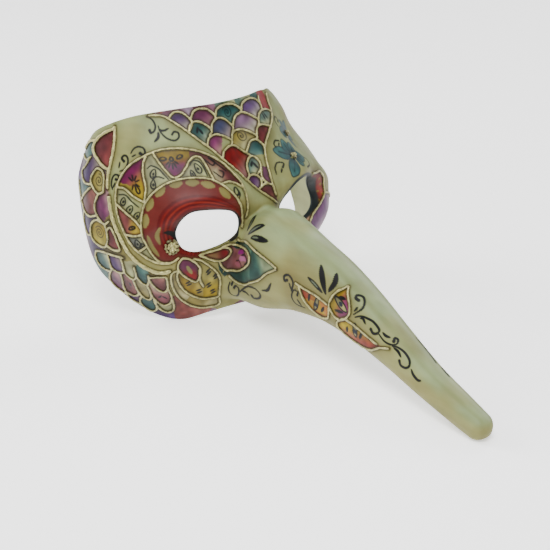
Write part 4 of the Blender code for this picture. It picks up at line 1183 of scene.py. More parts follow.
# (start, middle and end width, places on the flare or nose)
INK_ON_NOSE = [
    # leaves beside the root of the nose
    ((0.6, 3.8, 0.1), on_nose((1.49, -43), (1.5, -31), (1.35, -17))),
    ((0.6, 4.0, 0.1), on_nose((1.666, -51), (1.86, -42), (2.005, -32))),
    ((0.6, 3.6, 0.1), on_nose((1.867, -56.5), (1.97, -54.5), (2.05, -49.5))),
    # scrolls under the petals
    ((0.3, 0.8, 1.3), on_nose((1.36, -115), (1.35, -123), (1.4, -130), (1.5, -133), (1.62, -127),
            (1.63, -119), (1.54, -117.5), (1.5, -121))),
    ((0.8, 1.2, 0.3), on_nose((1.44, -114), (1.42, -119))),
    ((0.3, 1.0, 2.0), on_nose((1.65, -124), (1.78, -116), (1.93, -110), (2.02, -110), (2.038, -117),
            (2.026, -124.5), (1.995, -127), (1.97, -122.5))),
    ((0.4, 1.5, 0.2), on_nose((1.74, -120.5), (1.83, -120.5), (1.9, -124.5))),
    ((0.2, 1.6, 0.3), on_nose((2.05, -109.5), (2.077, -106), (2.094, -95))),
    # scrolls, leaves and dashes round the three gold leaves
    ((1.5, 1.1, 0.3), on_nose((2.164, -85), (2.152, -87), (2.15, -82), (2.166, -78.5), (2.182, -81),
            (2.19, -87), (2.182, -93.5))),
    ((0.3, 1.1, 0.3), on_nose((2.172, -87.5), (2.183, -92))),
    ((1.2, 0.7, 0.3), on_nose((2.208, -96), (2.211, -91.5), (2.194, -91), (2.184, -98), (2.185, -106),
            (2.2, -114), (2.238, -115))),
    ((0.3, 1.0, 0.3), on_nose((2.207, -103), (2.222, -112))),
    ((0.1, 2.4, 0.3), on_nose((2.246, -67), (2.272, -70.5), (2.31, -76.5))),
    ((0.1, 3.6, 0.3), on_nose((2.266, -30), (2.293, -52), (2.324, -75))),
    ((0.1, 3.2, 0.3), on_nose((2.316, -20), (2.335, -42), (2.331, -67))),
    ((1.7, 1.1, 0.3), on_nose((2.425, -30), (2.414, -31), (2.411, -22), (2.425, -14), (2.442, -23),
            (2.45, -41), (2.439, -69))),
    ((0.3, 1.2, 0.2), on_nose((2.438, -46), (2.436, -61))),
    ((0.3, 1.0, 1.6), on_nose((2.446, -72), (2.461, -58), (2.479, -49), (2.5, -42.5), (2.526, -46),
            (2.529, -59), (2.518, -69), (2.506, -65))),
    ((0.2, 1.3, 0.3), on_nose((2.462, -64), (2.47, -59), (2.484, -65))),
    ((0.3, 0.7, 1.7), on_nose((2.532, -57), (2.56, -61), (2.584, -51), (2.592, -35), (2.585, -22),
            (2.576, -26), (2.581, -37))),
    ((0.2, 1.2, 0.2), on_nose((2.54, -44), (2.553, -44), (2.566, -37))),
    ((0.3, 1.0, 1.6), on_nose((2.587, -53), (2.602, -41), (2.626, -35), (2.652, -41), (2.664, -58),
            (2.658, -74), (2.641, -80), (2.63, -72))),
    ((0.2, 1.2, 0.2), on_nose((2.594, -53), (2.611, -51), (2.628, -58))),
    ((0.2, 1.5, 0.7), on_nose((2.676, -62), (2.69, -72), (2.71, -75), (2.72, -69))),
    # dashes on the far side of the ridge
    (0.8, on_nose((2.6, 28), (2.66, 30), (2.7, 22))), (0.8, on_nose((2.72, 30), (2.76, 24))),
    (0.8, on_nose((2.68, 48), (2.74, 44), (2.8, 50))),
]
# pale middles of the open leaves
PALE_ON_NOSE = [
    ((0.0, 0.9, 0.0), on_nose((1.5, -38), (1.5, -31), (1.42, -23))),
    ((0.0, 0.9, 0.0), on_nose((1.73, -48.5), (1.85, -42.5), (1.95, -36))),
    ((0.0, 0.8, 0.0), on_nose((1.9, -55.6), (1.96, -54.5), (2.01, -52.5))),
    ((0.0, 0.7, 0.0), on_nose((2.26, -69), (2.272, -70.5), (2.29, -73.5))),
]


def paint_face(skin_facts):
    """Everything painted on the face and flare but the flowers."""
    painter = Painter(skin_facts)
    painter.cells()
    leaf = on_nose((1.0, -106), (1.25, -107.5), (1.42, -110.5), (1.62, -111.5), (1.85, -109), (2.0, -104),
                   (2.04, -97), (2.075, -88), (2.11, -78), (2.07, -73), (2.02, -69.5), (1.9, -65.5),
                   (1.7, -62), (1.45, -59), (1.0, -62))
    petal = (on_face((-20.8, -21.2), (-20.2, -26), (-18.4, -30))
             + on_nose((1.25, -101), (1.6, -97), (1.85, -91), (1.97, -84), (1.9, -76), (1.6, -71),
                       (1.2, -69))
             + on_face((-16, -13.4), (-17.6, -13.2)))
    drop = on_face((-26.4, -18.2), (-23.4, -16.4), (-19.2, -15.6), (-17.6, -17.4), (-18.6, -20.6),
                   (-21.6, -21.8), (-24.4, -20.4))
    painter.patch(leaf, LEAF_TEAL, LEAF_SEA, on_nose((2.08, -76))[0], 15)
    painter.patch(petal, PETAL_PINK, PETAL_PALE, on_nose((1.9, -84))[0], 8)
    painter.patch(drop, DROP_RED, DROP_PALE, on_face((-25, -18.4))[0], 3)
    # half discs along the outer edge of the red crescent, and two long ones beside the eye
    at = painter.ids[(painter.z[painter.ids] < ROOT_Z - 1)]
    red = at[labels[map_index(painter.turn[at], painter.z[at])] == CRESCENT_LABEL]
    scallops = [dab((turn, z), lean, 2.7, (2.4, 4.6, 2.4)) for turn, z, lean in (
        (-24, 28.4, -22), (-30, 30.2, -4), (-37, 30, 8), (-44.4, 26.4, 38), (-49.6, 19.4, 62),
        (-51.5, 10.4, 88), (-18.4, 23, -58))]
    painter.strokes(scallops, SCALLOP, 0.9, red)
    long_arcs = [((0.2, 2.6, 0.2), on_face((-45.6, 7), (-47, 1.4), (-46.2, -5))),
                 ((0.2, 2.4, 0.2), on_face((-50.4, 2), (-49.4, -5.5), (-46.6, -12)))]
    painter.strokes(long_arcs, ARC_OLIVE, 0.9, red)
    # ink corners of the eye
    painter.strokes([((0.2, 2.6, 2.6), on_face((-44.4, 2.6), (-42, 0.8), (-40, -2.4))),
                     ((2.2, 2.2, 0.2), on_face((-12.6, -4.6), (-13.6, -8.4), (-16.4, -11)))], INK)
    painter.strokes([dab((-35.2, -24), -68, 3.0, 2.0)], DAB_OLIVE, 0.85)
    # flames and loops in the pink petal
    painter.strokes([((1.0, 3.2, 1.0), on_nose((1.42, -77), (1.56, -74.5), (1.7, -76)))], MAGENTA)
    painter.strokes([((1.0, 3.4, 1.0), on_nose((1.56, -85), (1.72, -83), (1.84, -84.5)))], PINK)
    painter.strokes([((1.0, 3.2, 1.0), on_nose((1.4, -92), (1.52, -91), (1.66, -92)))], DUSTY_PINK)
    painter.strokes([(0.7, on_nose((1.44, -72), (1.64, -71), (1.77, -77.5), (1.66, -79.5))),
                     (0.7, on_nose((1.6, -80.5), (1.8, -79.5), (1.9, -85.5), (1.8, -89.5))),
                     (0.6, on_nose((1.4, -88), (1.58, -88), (1.72, -93.5)))], INK)
    painter.strokes(INK_ON_FACE, INK)
    painter.strokes(ink_in_cells(), INK, 0.85)
    painter.strokes(INK_ON_NOSE, INK)
    painter.strokes(PALE_ON_NOSE, LEAF_HEART)
    painter.shade_and_wash_beside_relief()
    painter.rims()
    painter.lining()
    return painter


def ink_in_cells():
    """Fine marks inside the painted cells."""
    # flower in the top panel of the ring
    lines = [teardrop((-40.8, 43.4), 0.7, 0.9, 2.2), teardrop((-32.8, 43.8), 0.7, 0.9, 2.0, 15),
             teardrop((-36.8, 43), 0.9, 1.1, 1.1)]
    heart = (-36.8, 42.6)
    for lean in (-150, -125, -90, -60, -30):
        a = math.radians(lean)
        end = (heart[0] + 4.6 * math.cos(a) / CHART_STRETCH, heart[1] + 5.0 * math.sin(a))
        lines.append((0.7, on_face(beside(heart, lean, 2.0), end)))
    # veined flower in the left panel
    heart = (-56, 31)
    for lean in (20, 60, 100, 140, 250, 290, 330):
        lines.append((0.6, on_face(beside(heart, lean, 1.2), beside(heart, lean, 4.2))))
    lines.append(teardrop((-54.6, 27.4), 0.7, 2.4, 1.0, 25))
    # teardrop loops in the cream panels, each with a dab inside
    for turn, z, lean, tall in (
            (-46.2, 35.8, -30, 2.7), (-47, 30.2, -15, 2.4), (-25.8, 36.8, 25, 2.7), (-28.8, 34.4, 15, 1.9),
            (-61.6, 20.4, -20, 2.4), (-58.6, 16.2, -35, 2.6), (-55.4, 13, -40, 2.2),
            (-54.6, -3.4, 20, 2.6), (-52.8, -5.2, 12, 2.2)):
        lines.append(teardrop((turn, z), 0.6, tall, tall * 0.62, lean))
        lines.append(dab((turn, z - 0.3), 90 + lean, 0.6, 1.1))
    lines += [(0.6, on_face((-39.8, 32.6), (-41.6, 35.4), (-43.6, 38.4), (-46.8, 40), (-48.8, 38.6))),
              (0.6, on_face((-41.6, 33), (-44, 34), (-46.8, 34))),
              (0.6, on_face((-22.8, 32.6), (-23.2, 36.8), (-24.6, 40), (-27.2, 40.8), (-29, 38.6))),
              (0.6, on_face((-63.6, 24), (-60.4, 24), (-57.6, 20.6), (-54.6, 17.6)))]
    # almond in the small yellow panel
    lines += [teardrop((-57.4, 5.6), 0.9, 0.9, 1.9, 20), dab((-57.4, 5.6), 0, 0.4, 0.8)]
    # swirls in the long dark red panel
    lines += [(0.6, on_face((-21.8, 40.8), (-19, 37), (-17.6, 38.6), (-19.6, 41), (-16, 36), (-14, 33))),
              (0.6, on_face((-19.6, 34), (-17, 30.6), (-15.4, 32.6), (-16.8, 34))),
              (0.7, on_face((-13.2, 24.6), (-12, 20.6), (-13.4, 17.6))),
              teardrop((-13.4, 22.4), 1.0, 2.2, 1.3)]
    lines += [spiral(-74.7, 30.2, 3.8, 2.1, 1), spiral(-74.8, -1.6, 4.2, 2.4, 0),
              spiral(-0.3, 61.0, 3.8, 2.1, 2), spiral(2.2, 47, 3.2, 1.9, 1)]
    # leaf dabs in the forehead and cheek scales
    for turn, z, lean in ((-20.8, 56, 60), (-19.2, 55, 120), (20, 53.6, 80), (22, 53.4, 100),
                          (1.2, 31.6, 50), (2.6, 30.4, 110), (-63.6, -35.6, 80), (-48.6, -45.6, 140),
                          (-50.8, -44.8, 40)):
        lines.append(dab((turn, z), lean, 1.5, 1.1))
    # double dashes on the yellow petals
    for turn, z, lean in ((-36.4, -34.6, 25), (-32, -42.2, 15), (-27.2, -28, 45), (-24, -32.4, 40),
                          (-27.2, -38.4, 35), (-25.2, -44, 25)):
        lines += [dab((turn, z + 0.9), lean, 1.5, 1.4), dab((turn + 0.4, z - 1.0), lean, 1.5, 1.4)]
    return lines


def teal_flower(painter, heart, petals):
    """Pointed petals round a button: each is its lean in degrees, length and half width."""
    side = [(0.35, 0.85), (0.6, 1), (0.82, 0.7)]       # share of the length, share of the half width
    around_petal = [(0.12, 0)] + side + [(1.0, 0)] + [(k, -w) for k, w in reversed(side)]
    for lean, size, half in petals:
        outline = [beside(heart, lean, size * k, w * half) for k, w in around_petal]
        tip = on_face(outline[len(side) + 1])[0]
        painter.patch(on_face(*outline), FLOWER_TEAL, FLOWER_SEA, tip, size * 0.5, 0.6)
        painter.strokes([(0.45, on_face(*outline, outline[0]))], FLOWER_LINE, 0.75)
        vein = on_face(beside(heart, lean, 1.8), beside(heart, lean, size * 0.75))
        painter.strokes([(0.45, vein)], INK, 0.6)


def paint_flowers(painter):
    """Two teal flowers on the left of the forehead, and dots in the red beside the left eye."""
    teal_flower(painter, LOW_FLOWER, [(153, 14.5, 3.4), (88, 9.5, 4.2), (24, 11, 3.0), (-18, 13, 3.0),
                                      (-55, 8, 2.4), (-142, 14, 3.6)])
    teal_flower(painter, HIGH_FLOWER, [(158, 13, 3.4), (95, 9, 3.2), (25, 12, 3.0), (-30, 9, 2.6),
                                       (-100, 8, 2.8)])
    dots = [(1.9, on_face((turn - 0.2, z), (turn, z), (turn + 0.2, z))) for turn, z in (
        (42.6, 6), (44.6, 1.5), (43, -3), (45.6, -5.4), (41.6, -8.4), (43.8, 8.6))]
    painter.strokes(dots, EYE_DOTS, 0.85)


def almond(painter, place, long_way, short_way):
    """Seed motif on the nose: a pale lens with a dark outline and a dark seed, by its half axes."""
    along, round_nose = place
    outline = []
    for k in range(12):
        a = k * math.pi / 6
        x = math.cos(a)
        y = 0.62 * math.sin(a) * abs(math.sin(a)) ** 0.3
        outline.append((along + x * long_way[0] + y * short_way[0],
                        round_nose + x * long_way[1] + y * short_way[1]))
    painter.patch(on_nose(*outline), SEED_SHADE, SEED_PALE, on_nose((along + 0.01, round_nose))[0], 3)
    painter.strokes([(0.6, on_nose(*outline, outline[0]))], INK)
    painter.strokes([((1.7, 2.3, 1.7), on_nose((along - 0.003, round_nose + 0.8),
                                               (along + 0.003, round_nose - 0.8)))], SEED_DARK)


def paint_nose(skin_facts):
    """Everything painted on the nose."""
    painter = Painter(skin_facts)
    painter.patch(on_nose((1.98, -104), (2.04, -97), (2.075, -88), (2.11, -78), (2.07, -73), (1.98, -69)),
                  LEAF_END_TEAL, LEAF_END_SEA, on_nose((2.1, -77))[0], 4)
    # the three leaves: outline, deep colour, pale colour, way to the pale, reach
    for outline, deep, pale, way, size in (
            (on_nose((2.215, -85.6), (2.24, -98), (2.28, -112), (2.315, -117), (2.345, -110),
                     (2.352, -98), (2.345, -88), (2.29, -86.5), (2.24, -86)),
             (176, 72, 52), (186, 160, 66), (2.3, -92), 6),
            (on_nose((2.345, -84), (2.35, -70), (2.358, -52), (2.368, -36), (2.372, -22), (2.388, -38),
                     (2.408, -52), (2.424, -68), (2.424, -82), (2.405, -92), (2.375, -94)),
             (184, 158, 52), (138, 58, 104), (2.42, -66), 4),
            (on_nose((2.412, -89), (2.45, -87), (2.5, -86), (2.545, -84), (2.585, -66), (2.556, -86),
                     (2.53, -104), (2.49, -122), (2.44, -126), (2.4, -116), (2.39, -102)),
             (178, 74, 62), (190, 168, 72), (2.47, -84), 5)):
        painter.patch(outline, deep, pale, on_nose(way)[0], size)
    painter.strokes([((1, 5.5, 1), on_nose((2.245, -97), (2.29, -100), (2.33, -102)))], (190, 166, 76), 0.7)
    painter.strokes([((1, 4.6, 1), on_nose((2.31, -90), (2.335, -94), (2.342, -104)))], (196, 110, 80), 0.6)
    almond(painter, (2.293, -96.5), (0.004725, 11), (0.0135, 0))
    almond(painter, (2.386, -71), (0.029, -4.8), (0, 12))
    almond(painter, (2.461, -93.5), (-0.00675, 11), (0.0135, 0))
    # dashes beside the seeds
    painter.strokes([((0.5, width, 0.5), on_nose(*ends)) for width, ends in (
              (1.5, ((2.262, -89), (2.259, -96))), (1.7, ((2.327, -93), (2.318, -103))),
              (1.7, ((2.371, -60), (2.391, -54))), (1.6, ((2.372, -88), (2.402, -83))),
              (1.6, ((2.431, -96), (2.432, -109))), (1.6, ((2.485, -88), (2.483, -100))))], INK)
    painter.strokes(INK_ON_NOSE, INK)
    painter.strokes(PALE_ON_NOSE, LEAF_HEART)
    painter.shade_and_wash_beside_relief()
    painter.lining()
    return painter


RICHER = 1.18                   # how much stronger the colours are than on the palette
DARKER = 0.46                   # and how much darker under the varnish


def linear(colour):
    """Screen colour values as amounts of light."""
    c = np.clip(colour, 0, 1)
    return np.where(c <= 0.04045, c / 12.92, ((c + 0.055) / 1.055) ** 2.4)


def graded(colour):
    """Palette colour as the light reflected by aged, varnished paint."""
    light = linear(colour)
    grey = (light @ np.array((0.2126, 0.7152, 0.0722)))[:, None]
    return np.clip((grey + (light - grey) * RICHER) * DARKER, 0.002, 1)


def closed_object(name, points, faces):
    """Object from points in the worn frame, its faces turned outwards."""
    mesh = bpy.data.meshes.new(name)
    mesh.from_pydata(to_table(points).tolist(), [], faces)
    shape = bmesh.new()
    shape.from_mesh(mesh)
    bmesh.ops.recalc_face_normals(shape, faces=shape.faces)
    shape.to_mesh(mesh)
    shape.free()
    made = bpy.data.objects.new(name, mesh)
    bpy.context.collection.objects.link(made)
    return made


def store(mesh, name, values):
    """One number for each point of a mesh, for the materials."""
    mesh.attributes.new(name, "FLOAT", "POINT").data.foreach_set("value", values.astype(np.float32))


def build(name, skin_facts, painter, replaced):
    """Painted skin piece in place of a packed shell."""
    made = closed_object(name, np.vstack(skin_facts.points),
                         [tuple(int(i) for i in f) for f in skin_facts.faces])
    mesh = made.data
    rgba = np.ones((len(painter.colour), 4), np.float32)
    rgba[:, :3] = graded(painter.colour)
    mesh.color_attributes.new("paint", "FLOAT_COLOR", "POINT").data.foreach_set("color", rgba.ravel())
    store(mesh, "gloss", painter.gloss)
    mesh.shade_smooth()
    flat = np.zeros(len(rgba) * 3, np.float32)
    mesh.vertex_normals.foreach_get("vector", flat)
    flat = flat.reshape(-1, 3)
    normals = np.vstack(skin_facts.normals) @ TURN.T
    normals[(normals * flat).sum(1) < 0] *= -1
    on_lip = painter.side == LIP
    normals[on_lip] = flat[on_lip]
    mesh.normals_split_custom_set_from_vertices(normals.tolist())
    mesh.materials.append(SKIN_MATERIAL)
    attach(made, BODY)
    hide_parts(replaced)


# ---- node helpers ------------------------------------------------------------------------


class Nodes:
    """One material and short ways to add nodes to it."""

    def __init__(self, name):
        self.material = bpy.data.materials.new(name)
        self.material.use_nodes = True
        self.tree = self.material.node_tree
        self.shader = self.tree.nodes["Principled BSDF"]
        coords = self.tree.nodes.new("ShaderNodeTexCoord")
        self.place = coords.outputs["Object"]

    def new(self, kind, **sockets):
        node = self.tree.nodes.new(kind)
        for key, value in sockets.items():
            self.put(node.inputs[key.replace("_", " ")], value)
        return node

    def put(self, socket, value):
        if isinstance(value, bpy.types.NodeSocket):
            self.tree.links.new(value, socket)
        elif isinstance(value, bpy.types.Node):
            self.tree.links.new(value.outputs[0], socket)
        else:
            socket.default_value = value

    def noise(self, scale, detail=4.0, roughness=0.55):
        node = self.new("ShaderNodeTexNoise", Vector=self.place, Scale=scale, Detail=detail,
                        Roughness=roughness)
        return node.outputs["Fac"]

    def attribute(self, name, output="Fac"):
        node = self.tree.nodes.new("ShaderNodeAttribute")
        node.attribute_name = name
        return node.outputs[output]

    def span(self, value, low, high, out_low, out_high):
        node = self.tree.nodes.new("ShaderNodeMapRange")
        for number, v in enumerate((value, low, high, out_low, out_high)):
            self.put(node.inputs[number], v)
        return node.outputs[0]

    def mix(self, share, a, b, blend="MIX"):
        node = self.tree.nodes.new("ShaderNodeMix")
        node.data_type = "RGBA"
        node.blend_type = blend
        self.put(node.inputs[0], share)
        self.put(node.inputs[6], a)
        self.put(node.inputs[7], b)
        return node.outputs[2]

    def math(self, operation, a, b):
        node = self.tree.nodes.new("ShaderNodeMath")
        node.operation = operation
        self.put(node.inputs[0], a)
        self.put(node.inputs[1], b)
        return node.outputs[0]

    def bump(self, height, strength, distance):
        node = self.new("ShaderNodeBump", Height=height, Strength=strength, Distance=distance)
        return node.outputs[0]

    def finish(self, **sockets):
        for key, value in sockets.items():
            self.put(self.shader.inputs[key.replace("_", " ")], value)
        return self.material


def painted_skin():
    """Hand painted papier-mache under aged matt varnish."""
    n = Nodes("painted_papier_mache")
    paint = n.attribute("paint", "Color")
    gloss = n.attribute("gloss")
    cloud = n.span(n.noise(38, 4), 0.3, 0.72, 0.0, 0.30)
    dirty = n.mix(cloud, paint, (0.34, 0.30, 0.17, 1), "MULTIPLY")
    mixed = n.mix(0.55, paint, dirty)
    speck = n.span(n.noise(260, 5, 0.7), 0.55, 0.75, 0.0, 0.22)
    mottled = n.mix(speck, mixed, (0.62, 0.60, 0.42, 1), "SOFT_LIGHT")
    brushed = n.new("ShaderNodeTexNoise", Scale=150.0, Detail=3.0)
    stretch = n.new("ShaderNodeMapping", Vector=n.place)
    stretch.inputs["Scale"].default_value = (1.0, 0.18, 1.0)
    n.put(brushed.inputs["Vector"], stretch.outputs[0])
    stroke = n.span(brushed.outputs["Fac"], 0.3, 0.7, 0.88, 1.08)
    toned = n.mix(1.0, mottled, stroke, "MULTIPLY")
    rough_plain = n.span(n.noise(90, 4), 0.3, 0.7, 0.44, 0.60)
    rough_glazed = n.span(n.noise(140, 3), 0.3, 0.7, 0.38, 0.50)
    n.shader.inputs["Specular IOR Level"].default_value = 0.15
    difference = n.math("SUBTRACT", rough_glazed, rough_plain)
    roughness = n.math("ADD", rough_plain, n.math("MULTIPLY", difference, gloss))
    fine = n.math("ADD", n.math("MULTIPLY", n.noise(900, 3), 0.4), n.noise(120, 3))
    normal = n.bump(fine, 0.22, 0.0006)
    return n.finish(Base_Color=toned, Roughness=roughness, Normal=normal)


def gold_paste():
    """Pale gold on piped relief paste, worn at the crown, with painted shade darkening it towards the foot
    of each line.
    """
    n = Nodes("antique_gold_paste")
    height = n.attribute("crown")
    # height over the surface with uneven wear: painted shade low on the line, pale gold at the crown
    worn = n.math("ADD", height, n.span(n.noise(420, 4), 0.3, 0.7, -0.28, 0.28))
    share = n.span(worn, 0.25, 0.85, 0.0, 1.0)
    colour = n.mix(share, (0.045, 0.036, 0.010, 1), (0.31, 0.285, 0.102, 1))
    pale = n.span(n.noise(900, 4, 0.7), 0.5, 0.72, 0.0, 0.55)
    colour = n.mix(pale, colour, (0.48, 0.47, 0.25, 1))
    metal = n.span(share, 0.0, 1.0, 0.15, 0.42)
    roughness = n.span(n.noise(700, 3), 0.3, 0.7, 0.28, 0.48)
    normal = n.bump(n.noise(1500, 4), 0.35, 0.0003)
    return n.finish(Base_Color=colour, Metallic=metal, Roughness=roughness, Normal=normal)


def woven_tape():
    """Soiled cotton tape of the ribbon pads."""
    n = Nodes("woven_cotton_tape")
    wave_a = n.new("ShaderNodeTexWave", Vector=n.place, Scale=900.0, Distortion=0.6)
    wave_a.bands_direction = "Y"
    wave_b = n.new("ShaderNodeTexWave", Vector=n.place, Scale=900.0, Distortion=0.6)
    wave_b.bands_direction = "Z"
    weave = n.math("MULTIPLY", wave_a.outputs["Fac"], wave_b.outputs["Fac"])
    colour = n.mix(n.span(weave, 0.0, 0.8, 0.0, 1.0), (0.42, 0.39, 0.28, 1), (0.66, 0.63, 0.50, 1))
    soiled = n.mix(n.span(n.noise(200, 3), 0.4, 0.7, 0.0, 0.4), colour, (0.34, 0.29, 0.18, 1))
    return n.finish(Base_Color=soiled, Roughness=n.span(weave, 0.0, 1.0, 0.95, 0.8),
                    Normal=n.bump(weave, 0.6, 0.0004))


def floor_paint():
    """Nearly white floor that glows, so that it stays pale away from the lights."""
    n = Nodes("pale_floor")
    tone = n.mix(n.span(n.noise(3, 3), 0.3, 0.7, 0.0, 1.0), (0.86, 0.86, 0.86, 1), (0.88, 0.88, 0.88, 1))
    n.shader.inputs["Emission Color"].default_value = (1.0, 1.0, 1.0, 1)
    n.shader.inputs["Emission Strength"].default_value = 0.9
    return n.finish(Base_Color=tone, Roughness=n.span(n.noise(5, 2), 0.3, 0.7, 0.75, 0.85))


SKIN_MATERIAL = painted_skin()
GOLD_MATERIAL = gold_paste()
TAPE_MATERIAL = woven_tape()

face_paint = paint_face(face_skin)
paint_flowers(face_paint)
face_paint.rims()
build("face_skin", face_skin, face_paint, "face_shell")
build("nose_skin", nose_skin, paint_nose(nose_skin), "nose_shell")

# ---- piped relief --------------------------------------------------------------------------

coarse_u = np.concatenate([np.linspace(0, 1, 70), np.linspace(1, 2, 24)[1:], np.linspace(2, 3, 90)[1:]])
coarse_phi = np.arange(0, 360, 1.5)
grid = skin(coarse_u[:, None] + 0 * coarse_phi, coarse_phi + 0 * coarse_u[:, None])
across = len(coarse_phi)
SURFACE = BVHTree.FromPolygons(
    [Vector(p) for p in grid.reshape(-1, 3)],
    [(i * across + j, i * across + (j + 1) % across,
      (i + 1) * across + (j + 1) % across, (i + 1) * across + j)
     for i in range(len(coarse_u) - 1) for j in range(across)])


def outward_at(point):
    """Nearest place on the outer surface and the coarse surface's normal there."""
    spot, normal, _, _ = SURFACE.find_nearest(Vector(point))
    return np.array(spot), np.array(normal)


# whether the coarse surface's normals point outwards, tried at one place of the forehead
probe_turn = np.array(-40.0)
probe_z = np.array(55.0)
FLIP = 1 if np.dot(outward_at(face(probe_turn, probe_z))[1], face_normal(probe_turn, probe_z)) > 0 else -1

BEAD_RADIUS = 0.7
WIDE_BEADS = {"temple_ridge_relief": 1.25, "temple_line_relief": 1.0}
BEAD_SIDES = 10
BEAD_STEP = 0.7
BEAD_WANDER = 0.17              # how uneven the piped lines are
BEAD_TALL = 1.15                # height at which a line is free of painted shade and at its palest
BOSS_TALL = 3.2
LINE_VOXEL = 0.00028            # metres
BOSS_VOXEL = 0.0002


def tube(line, closed, radius):
    """Points and faces of an uneven piped line half sunk in the surface."""
    line = resample(line, BEAD_STEP, closed)
    laid = [outward_at(p) for p in line]
    foot = np.array([a for a, _ in laid])
    up = np.array([b for _, b in laid]) * FLIP
    ahead = np.roll(foot, -1, 0) - np.roll(foot, 1, 0) if closed else np.gradient(foot, axis=0)
    ahead /= np.linalg.norm(ahead, axis=1, keepdims=True) + 1e-12
    side = np.cross(ahead, up)
    side /= np.linalg.norm(side, axis=1, keepdims=True)
    count = len(foot)
    run = np.arange(count) * BEAD_STEP
    phase = draw.uniform(0, 6.28, 4)
    lumps = (np.sin(run * 0.9 + phase[0]) * 0.5 + np.sin(run * 2.3 + phase[1]) * 0.3
             + np.sin(run * 3.9 + phase[2]) * 0.2)
    r = radius * (1 + BEAD_WANDER * lumps)
    if not closed:
        end = np.minimum(run, run[::-1]) + 0.35
        r = r * np.sqrt(np.clip(1 - np.clip(1 - end / 1.3, 0, 1) ** 2, 0.12, 1))
    centre = foot + up * (0.42 * r)[:, None] + side * (0.05 * np.sin(run * 1.3 + phase[3]))[:, None]
    angle = np.arange(BEAD_SIDES) * 2 * math.pi / BEAD_SIDES
    points = (centre[:, None] + side[:, None] * (r[:, None] * np.cos(angle))[..., None]
              + up[:, None] * (r[:, None] * np.sin(angle))[..., None])
    faces = []
    for i in range(count if closed else count - 1):
        n = (i + 1) % count
        for j in range(BEAD_SIDES):
            k = (j + 1) % BEAD_SIDES
            faces.append((i * BEAD_SIDES + j, i * BEAD_SIDES + k,
                          n * BEAD_SIDES + k, n * BEAD_SIDES + j))
    if not closed:
        faces.append(tuple(range(BEAD_SIDES)))
        faces.append(tuple((count - 1) * BEAD_SIDES + j for j in reversed(range(BEAD_SIDES))))
    return points.reshape(-1, 3), faces


def fused(name, parts, voxel, tall, replaced):
    """One closed lump of gold paste from overlapping closed parts in the worn frame."""
    points = []
    faces = []
    first = 0
    for p, f in parts:
        points.append(p)
        faces += [tuple(i + first for i in face_ids) for face_ids in f]
        first += len(p)
    made = closed_object(name, np.vstack(points), faces)
    fuse = made.modifiers.new("fuse", "REMESH")
    fuse.mode = "VOXEL"
    fuse.voxel_size = voxel
    soften = made.modifiers.new("soften", "SMOOTH")
    soften.iterations = 2
    soften.factor = 0.5
    bpy.context.view_layer.update()
    solid = bpy.data.meshes.new_from_object(made.evaluated_get(bpy.context.evaluated_depsgraph_get()))
    made.modifiers.clear()
    made.data = solid
    solid.name = name
    solid.shade_smooth()
    worn = (np.array([v.co for v in solid.vertices]) / MM - REST_SHIFT) @ TURN
    # height of each point over the surface, for the gold's painted shade towards the foot
    crown = np.zeros(len(worn))
    for k, p in enumerate(worn):
        spot, up = outward_at(p)
        crown[k] = np.clip(np.dot(p - spot, up * FLIP) / tall, 0, 1)
    store(solid, "crown", crown)
    solid.materials.clear()
    solid.materials.append(GOLD_MATERIAL)
    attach(made, BODY)
    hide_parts(replaced)


draw = np.random.default_rng(7)
for relief_name in RELIEFS:
    radius = WIDE_BEADS.get(relief_name, BEAD_RADIUS)
    tubes = [tube(line, closed, radius) for owner, line, closed in laid_lines if owner == relief_name]
    fused(relief_name.replace("relief", "gold"), tubes, LINE_VOXEL, BEAD_TALL, relief_name)

BALL_RINGS = 6
BALL_AROUND = 10


def ball(centre, radius):
    """Points and faces of a round pebble."""
    points = [centre + np.array((0, 0, radius))]
    faces = []
    for i in range(1, BALL_RINGS):
        a = math.pi * i / BALL_RINGS
        for j in range(BALL_AROUND):
            b = 2 * math.pi * j / BALL_AROUND
            way = (math.sin(a) * math.cos(b), math.sin(a) * math.sin(b), math.cos(a))
            points.append(centre + radius * np.array(way))
    points.append(centre - np.array((0, 0, radius)))
    last = len(points) - 1
    for j in range(BALL_AROUND):
        k = (j + 1) % BALL_AROUND
        faces.append((0, 1 + j, 1 + k))
        faces.append((last, last - BALL_AROUND + k, last - BALL_AROUND + j))
        for i in range(BALL_RINGS - 2):
            upper = 1 + i * BALL_AROUND
            lower = upper + BALL_AROUND
            faces.append((upper + j, lower + j, lower + k, upper + k))
    return np.array(points), faces


def boss(name, place, rings):
    """Pebbled gold boss: rings of (count, circle radius, pebble radius, height)."""
    spot, up = outward_at(on_face(place)[0])
    up = up * FLIP
    side = np.cross(up, (0, 0, 1))
    side /= np.linalg.norm(side)
    other = np.cross(up, side)
    pebbles = []
    for count, circle, pebble, height in rings:
        for k in range(count):
            a = 2 * math.pi * (k + 0.5 * draw.uniform(-0.3, 0.3)) / count
            centre = spot + up * height + (side * math.cos(a) + other * math.sin(a)) * circle
            pebbles.append(ball(centre, pebble * draw.uniform(0.88, 1.12)))
    fused(name + "_gold", pebbles, BOSS_VOXEL, BOSS_TALL, name)


boss("eye_rosette", ROSETTE, [(1, 0, 2.7, 0.2), (12, 4.0, 1.05, 0.5), (8, 2.4, 1.0, 1.9), (1, 0, 1.1, 2.4)])
boss("brow_flower_button", LOW_FLOWER, [(1, 0, 1.9, 0.3), (9, 1.9, 0.6, 0.6), (5, 0.8, 0.6, 1.9)])
boss("forehead_flower_button", HIGH_FLOWER, [(1, 0, 1.7, 0.3), (8, 1.7, 0.6, 0.6), (5, 0.7, 0.55, 1.7)])

for node in ("left_ribbon_pad", "right_ribbon_pad"):
    pad = frame["nodes"][node]
    pad.data.materials.clear()
    pad.data.materials.append(TAPE_MATERIAL)

# ---- floor, light and camera -----------------------------------------------------------------

